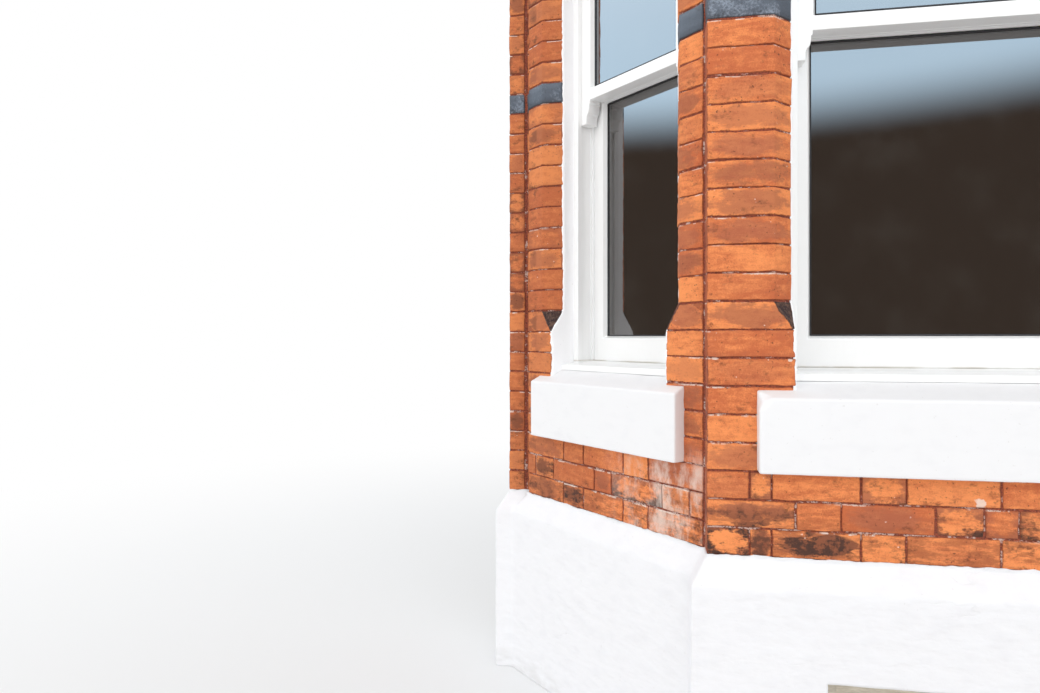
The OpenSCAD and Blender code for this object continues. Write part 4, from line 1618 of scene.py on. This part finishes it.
@dataclass
class SlateRoof:
    """Three slopes of slate in courses, with lead hips and upstand."""

    pitch: float = 0.466
    exposed: float = 0.200
    wide: float = 0.250
    long: float = 0.256
    gap: float = 0.003
    thick: float = 0.006
    lift: float = 0.026
    eave_z: float = 4.369
    eave_out: float = 0.110
    first_row: float = -0.012
    cant_run: float = 1.25
    front_cover: float = 1.1
    cant_cover: float = 1.2
    verge_out: float = 0.06
    bed_drop: float = 0.018
    batten_high: float = 0.020
    batten_deep: float = 0.012

    def slope(self, side: Side, length: float, half: float, tree: bpy.types.NodeTree) -> None:
        """Lays one slope and cuts it to its hips.

        Args:
            side: The face below it.
            length: How far it runs up, on plan.
            half: Half of what the courses cover along the face.
            tree: The slate tree.
        """
        name, angle = side.value, math.atan(self.pitch)
        count = math.ceil(half / self.wide) + 1
        points: list[Triple] = []
        row, along = 0, self.first_row
        while along < length / math.cos(angle):
            shift = self.wide / 2 if row % 2 else 0.0
            points += [(k * self.wide + shift, along * math.cos(angle) - self.eave_out,
                        self.eave_z + along * math.sin(angle)) for k in range(-count, count + 1)]
            along += self.exposed
            row += 1
        mesh = bpy.data.meshes.new(f"slates_{name}")
        mesh.from_pydata(points, [], [])
        piece = use_tree(show(f"slates_{name}", mesh), tree, Width=self.wide - self.gap,
                         Length=self.long, Thick=self.thick, Angle=angle, Lift=self.lift,
                         Seed=7 + len(name), Finish=FINISH.slate.material())
        piece.data.transform(side.matrix())
        cut_away(piece, *self.hip_planes(side))
        one_finish(piece, FINISH.slate)
        hand_in(join(piece, show("bed", self.bed(f"roof_{name}"))), "slate", f"roof_{name}")

    @staticmethod
    def sloping(faces: bmesh.types.BMElemSeq) -> bool:
        """Tells whether one of the faces is a roof slope."""
        return any(0.5 < face.normal.z < 0.99 for face in faces)

    def bed(self, node: str) -> bpy.types.Mesh:
        """Gives the roof slab set down below the slates, with a batten under their rear edge."""
        made = copy_of(node)
        rear = [[vert.co.copy() for vert in edge.verts] for edge in made.edges
                if all(vert.co.y > PLAN.wall_y - 1e-3 for vert in edge.verts)
                and self.sloping(edge.link_faces)]
        for vert in made.verts:
            if self.sloping(vert.link_faces):
                vert.co.z -= self.bed_drop
        low, near = Vector((0, 0, -self.batten_high)), Vector((0, -self.batten_deep, 0))
        for first, last in rear:
            corners = [made.verts.new(spot + side) for spot in (first, last, last + low, first + low)
                       for side in (Vector(), near)]
            bmesh.ops.convex_hull(made, input=corners)
        return to_mesh(made, "bed", FINISH.slate)

    def hip_planes(self, side: Side) -> list[tuple[Vector, Vector]]:
        """Gives the planes that cut a slope, as points and outward normals."""
        eave = self.eave_out
        across = PLAN.cant_end[0] + PLAN.cant_end[1] - eave * math.sqrt(2)
        corner = Vector((across - PLAN.front_y + eave, PLAN.front_y - eave, 0))
        top = Vector((corner.x + (PLAN.depth + eave) * (math.sqrt(2) - 1), PLAN.wall_y, 0))
        way = (top - corner).normalized()
        outward = Vector((-way.y, way.x, 0))
        back = (Vector((0, PLAN.wall_y - 0.002, 0)), Vector((0, 1, 0)))
        mirror = Vector((-1, 1, 1))
        if side is Side.FRONT:
            return [(corner, outward), (corner * mirror, outward * mirror), back]
        flip = Vector((1, 1, 1)) if side is Side.LEFT else mirror
        verge = (Vector((-(PLAN.bay_half + self.verge_out), 0, 0)) * flip, Vector((-1, 0, 0)) * flip)
        return [(corner * flip, -outward * flip), verge, back]

    def build(self) -> None:
        """Lays the three slopes and dresses the lead."""
        tree = slate_tree()
        self.slope(Side.FRONT, PLAN.depth + self.eave_out, self.front_cover, tree)
        for side in (Side.LEFT, Side.RIGHT):
            self.slope(side, self.cant_run, self.cant_cover, tree)
        for node in ("lead_hips", "lead_flashing"):
            paint_node(node, FINISH.lead)


def slate_tree() -> bpy.types.NodeTree:
    """Makes the tree that lays one slate on each point of a slope."""
    graph, given = geometry_tree("slates", "Width", "Length", "Thick", "Angle", "Lift", Seed="Int")
    size = graph.combine(given["Width"], given["Length"], given["Thick"])
    slate = graph.term("GeometryNodeMeshCube", None,
                       {"Size": size, "Vertices X": 4, "Vertices Y": 4, "Vertices Z": 2})
    slate = graph.term("GeometryNodeTransform", None,
                       {"Geometry": slate, "Translation": graph.combine(y=given["Length"] * 0.5)})
    lean = graph.chance("FLOAT_VECTOR", (-0.006, -0.006, -0.008), (0.006, 0.006, 0.008), given["Seed"])
    tilt = graph.combine(given["Angle"] - given["Lift"])
    laid = graph.lay(given["Geometry"], slate, graph.vector("ADD", tilt, lean))
    laid = graph.store(laid, "tone", graph.chance("FLOAT", 0.0, 1.0, given["Seed"] + 3.0))
    real = graph.term("GeometryNodeRealizeInstances", None, {0: laid})
    shake = graph.shake(graph.term("GeometryNodeInputPosition"), 40.0)
    return finish_tree(graph, graph.shift(real, graph.scaled(shake, 0.006)), given["Finish"])


# Studio


@dataclass
class Studio:
    """Camera at the photograph's place, pale floor, soft daylight."""

    eye: Triple = (-0.9635, -2.453, 1.3445)
    turn: float = 10.0
    lens: float = 24.0
    sensor: float = 36.0
    shift: float = -0.0091
    sky: float = 0.93
    shine: float = 4.6
    power: float = 615.0
    lamp_size: float = 12.5
    aim: Triple = (0.0, 0.0, 1.6)
    floor_half: float = 40.0
    floor_fade: Span = (2.0, 7.0)

    def camera(self) -> None:
        """Sets the camera."""
        data = bpy.data.cameras.new("camera")
        data.lens, data.sensor_width, data.shift_y = self.lens, self.sensor, self.shift
        data.sensor_fit = "HORIZONTAL"
        data.clip_end = 200.0
        camera = bpy.data.objects.new("camera", data)
        camera.location = self.eye
        camera.rotation_euler = (math.pi / 2, 0.0, math.radians(self.turn))
        bpy.context.scene.collection.objects.link(camera)
        bpy.context.scene.camera = camera

    def floor(self) -> None:
        """Lays the pale floor, which fades into the white ground."""
        half = self.floor_half
        mesh = bpy.data.meshes.new("floor")
        mesh.from_pydata([(-half, -half, 0), (half, -half, 0), (half, half, 0), (-half, half, 0)], [],
                         [(0, 1, 2, 3)])
        material = bpy.data.materials.new("studio_floor")
        material.use_nodes = True
        nodes, graph = material.node_tree.nodes, Graph(material.node_tree)
        shader = nodes["Principled BSDF"]
        Finish.feed(graph, shader, Base_Color=(0.80, 0.80, 0.80, 1.0), Roughness=0.9)
        away = graph.vector("LENGTH", graph.place(), output="Value")
        white = graph.term("ShaderNodeEmission", None, {0: WHITE, 1: 1.0})
        blend = graph.node("ShaderNodeMixShader", None, {
            0: away.rise(*self.floor_fade), 1: Term(graph, shader.outputs[0]), 2: white})
        graph.tree.links.new(blend.outputs[0], nodes["Material Output"].inputs[0])
        mesh.materials.append(material)
        show("floor", mesh)

    def world(self) -> None:
        """Sets a white ground for the camera, even light, and a darker horizon for gloss."""
        world = bpy.data.worlds.new("studio")
        bpy.context.scene.world = world
        world.use_nodes = True
        world.node_tree.nodes.clear()
        graph = Graph(world.node_tree)
        height = graph.split(graph.term("ShaderNodeTexCoord", output="Generated"))[2]
        gloss = graph.mix(height.rise(0.25, 0.33), srgb(44, 36, 30), srgb(187, 212, 231))
        gloss = graph.mix(height.rise(0.33, 0.8), gloss, srgb(232, 238, 247))
        out, shine, seen = [graph.term("ShaderNodeBackground", None, {0: colour, 1: strength})
                            for colour, strength in ((WHITE, self.sky), (gloss, self.shine), (WHITE, 1.0))]
        for ray, ground in (("Is Glossy Ray", shine), ("Is Camera Ray", seen)):
            share = graph.term("ShaderNodeLightPath", output=ray)
            out = graph.term("ShaderNodeMixShader", None, {0: share, 1: out, 2: ground})
        graph.node("ShaderNodeOutputWorld", None, {0: out})

    def lamps(self) -> None:
        """Hangs two large soft lamps in front, far enough off for even light from foot to top."""
        for name, place, share in (("key", (6.25, -16.25, 8.85), 0.93), ("fill", (-12.5, -11.25, 7.6), 0.97)):
            data = bpy.data.lights.new(name, "AREA")
            data.size, data.energy = self.lamp_size, self.power * share
            lamp = bpy.data.objects.new(name, data)
            lamp.location = place
            lamp.visible_glossy = False
            lamp.rotation_euler = (Vector(self.aim) - Vector(place)).to_track_quat("-Z", "Y").to_euler()
            bpy.context.scene.collection.objects.link(lamp)

    def build(self) -> None:
        """Sets up the whole studio."""
        self.camera()
        self.floor()
        self.world()
        self.lamps()
        bpy.context.scene.view_settings.view_transform = "Standard"


def main() -> None:
    """Builds the bay's looks piece by piece."""
    logging.basicConfig(level=logging.INFO, format="%(message)s")
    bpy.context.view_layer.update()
    Studio().build()
    Brickwork().build()
    PaintedMasonry().build()
    gaskets = bead_tree()
    for side in WINDOWED:
        SashWindow(side).build(gaskets)
    SlateRoof().build()
    paint_node("ceiling", FINISH.ceiling)
    paint_node("window_boards", FINISH.timber)
    paint_node("cellar_light", FINISH.board)


if __name__ == "__main__":
    main()
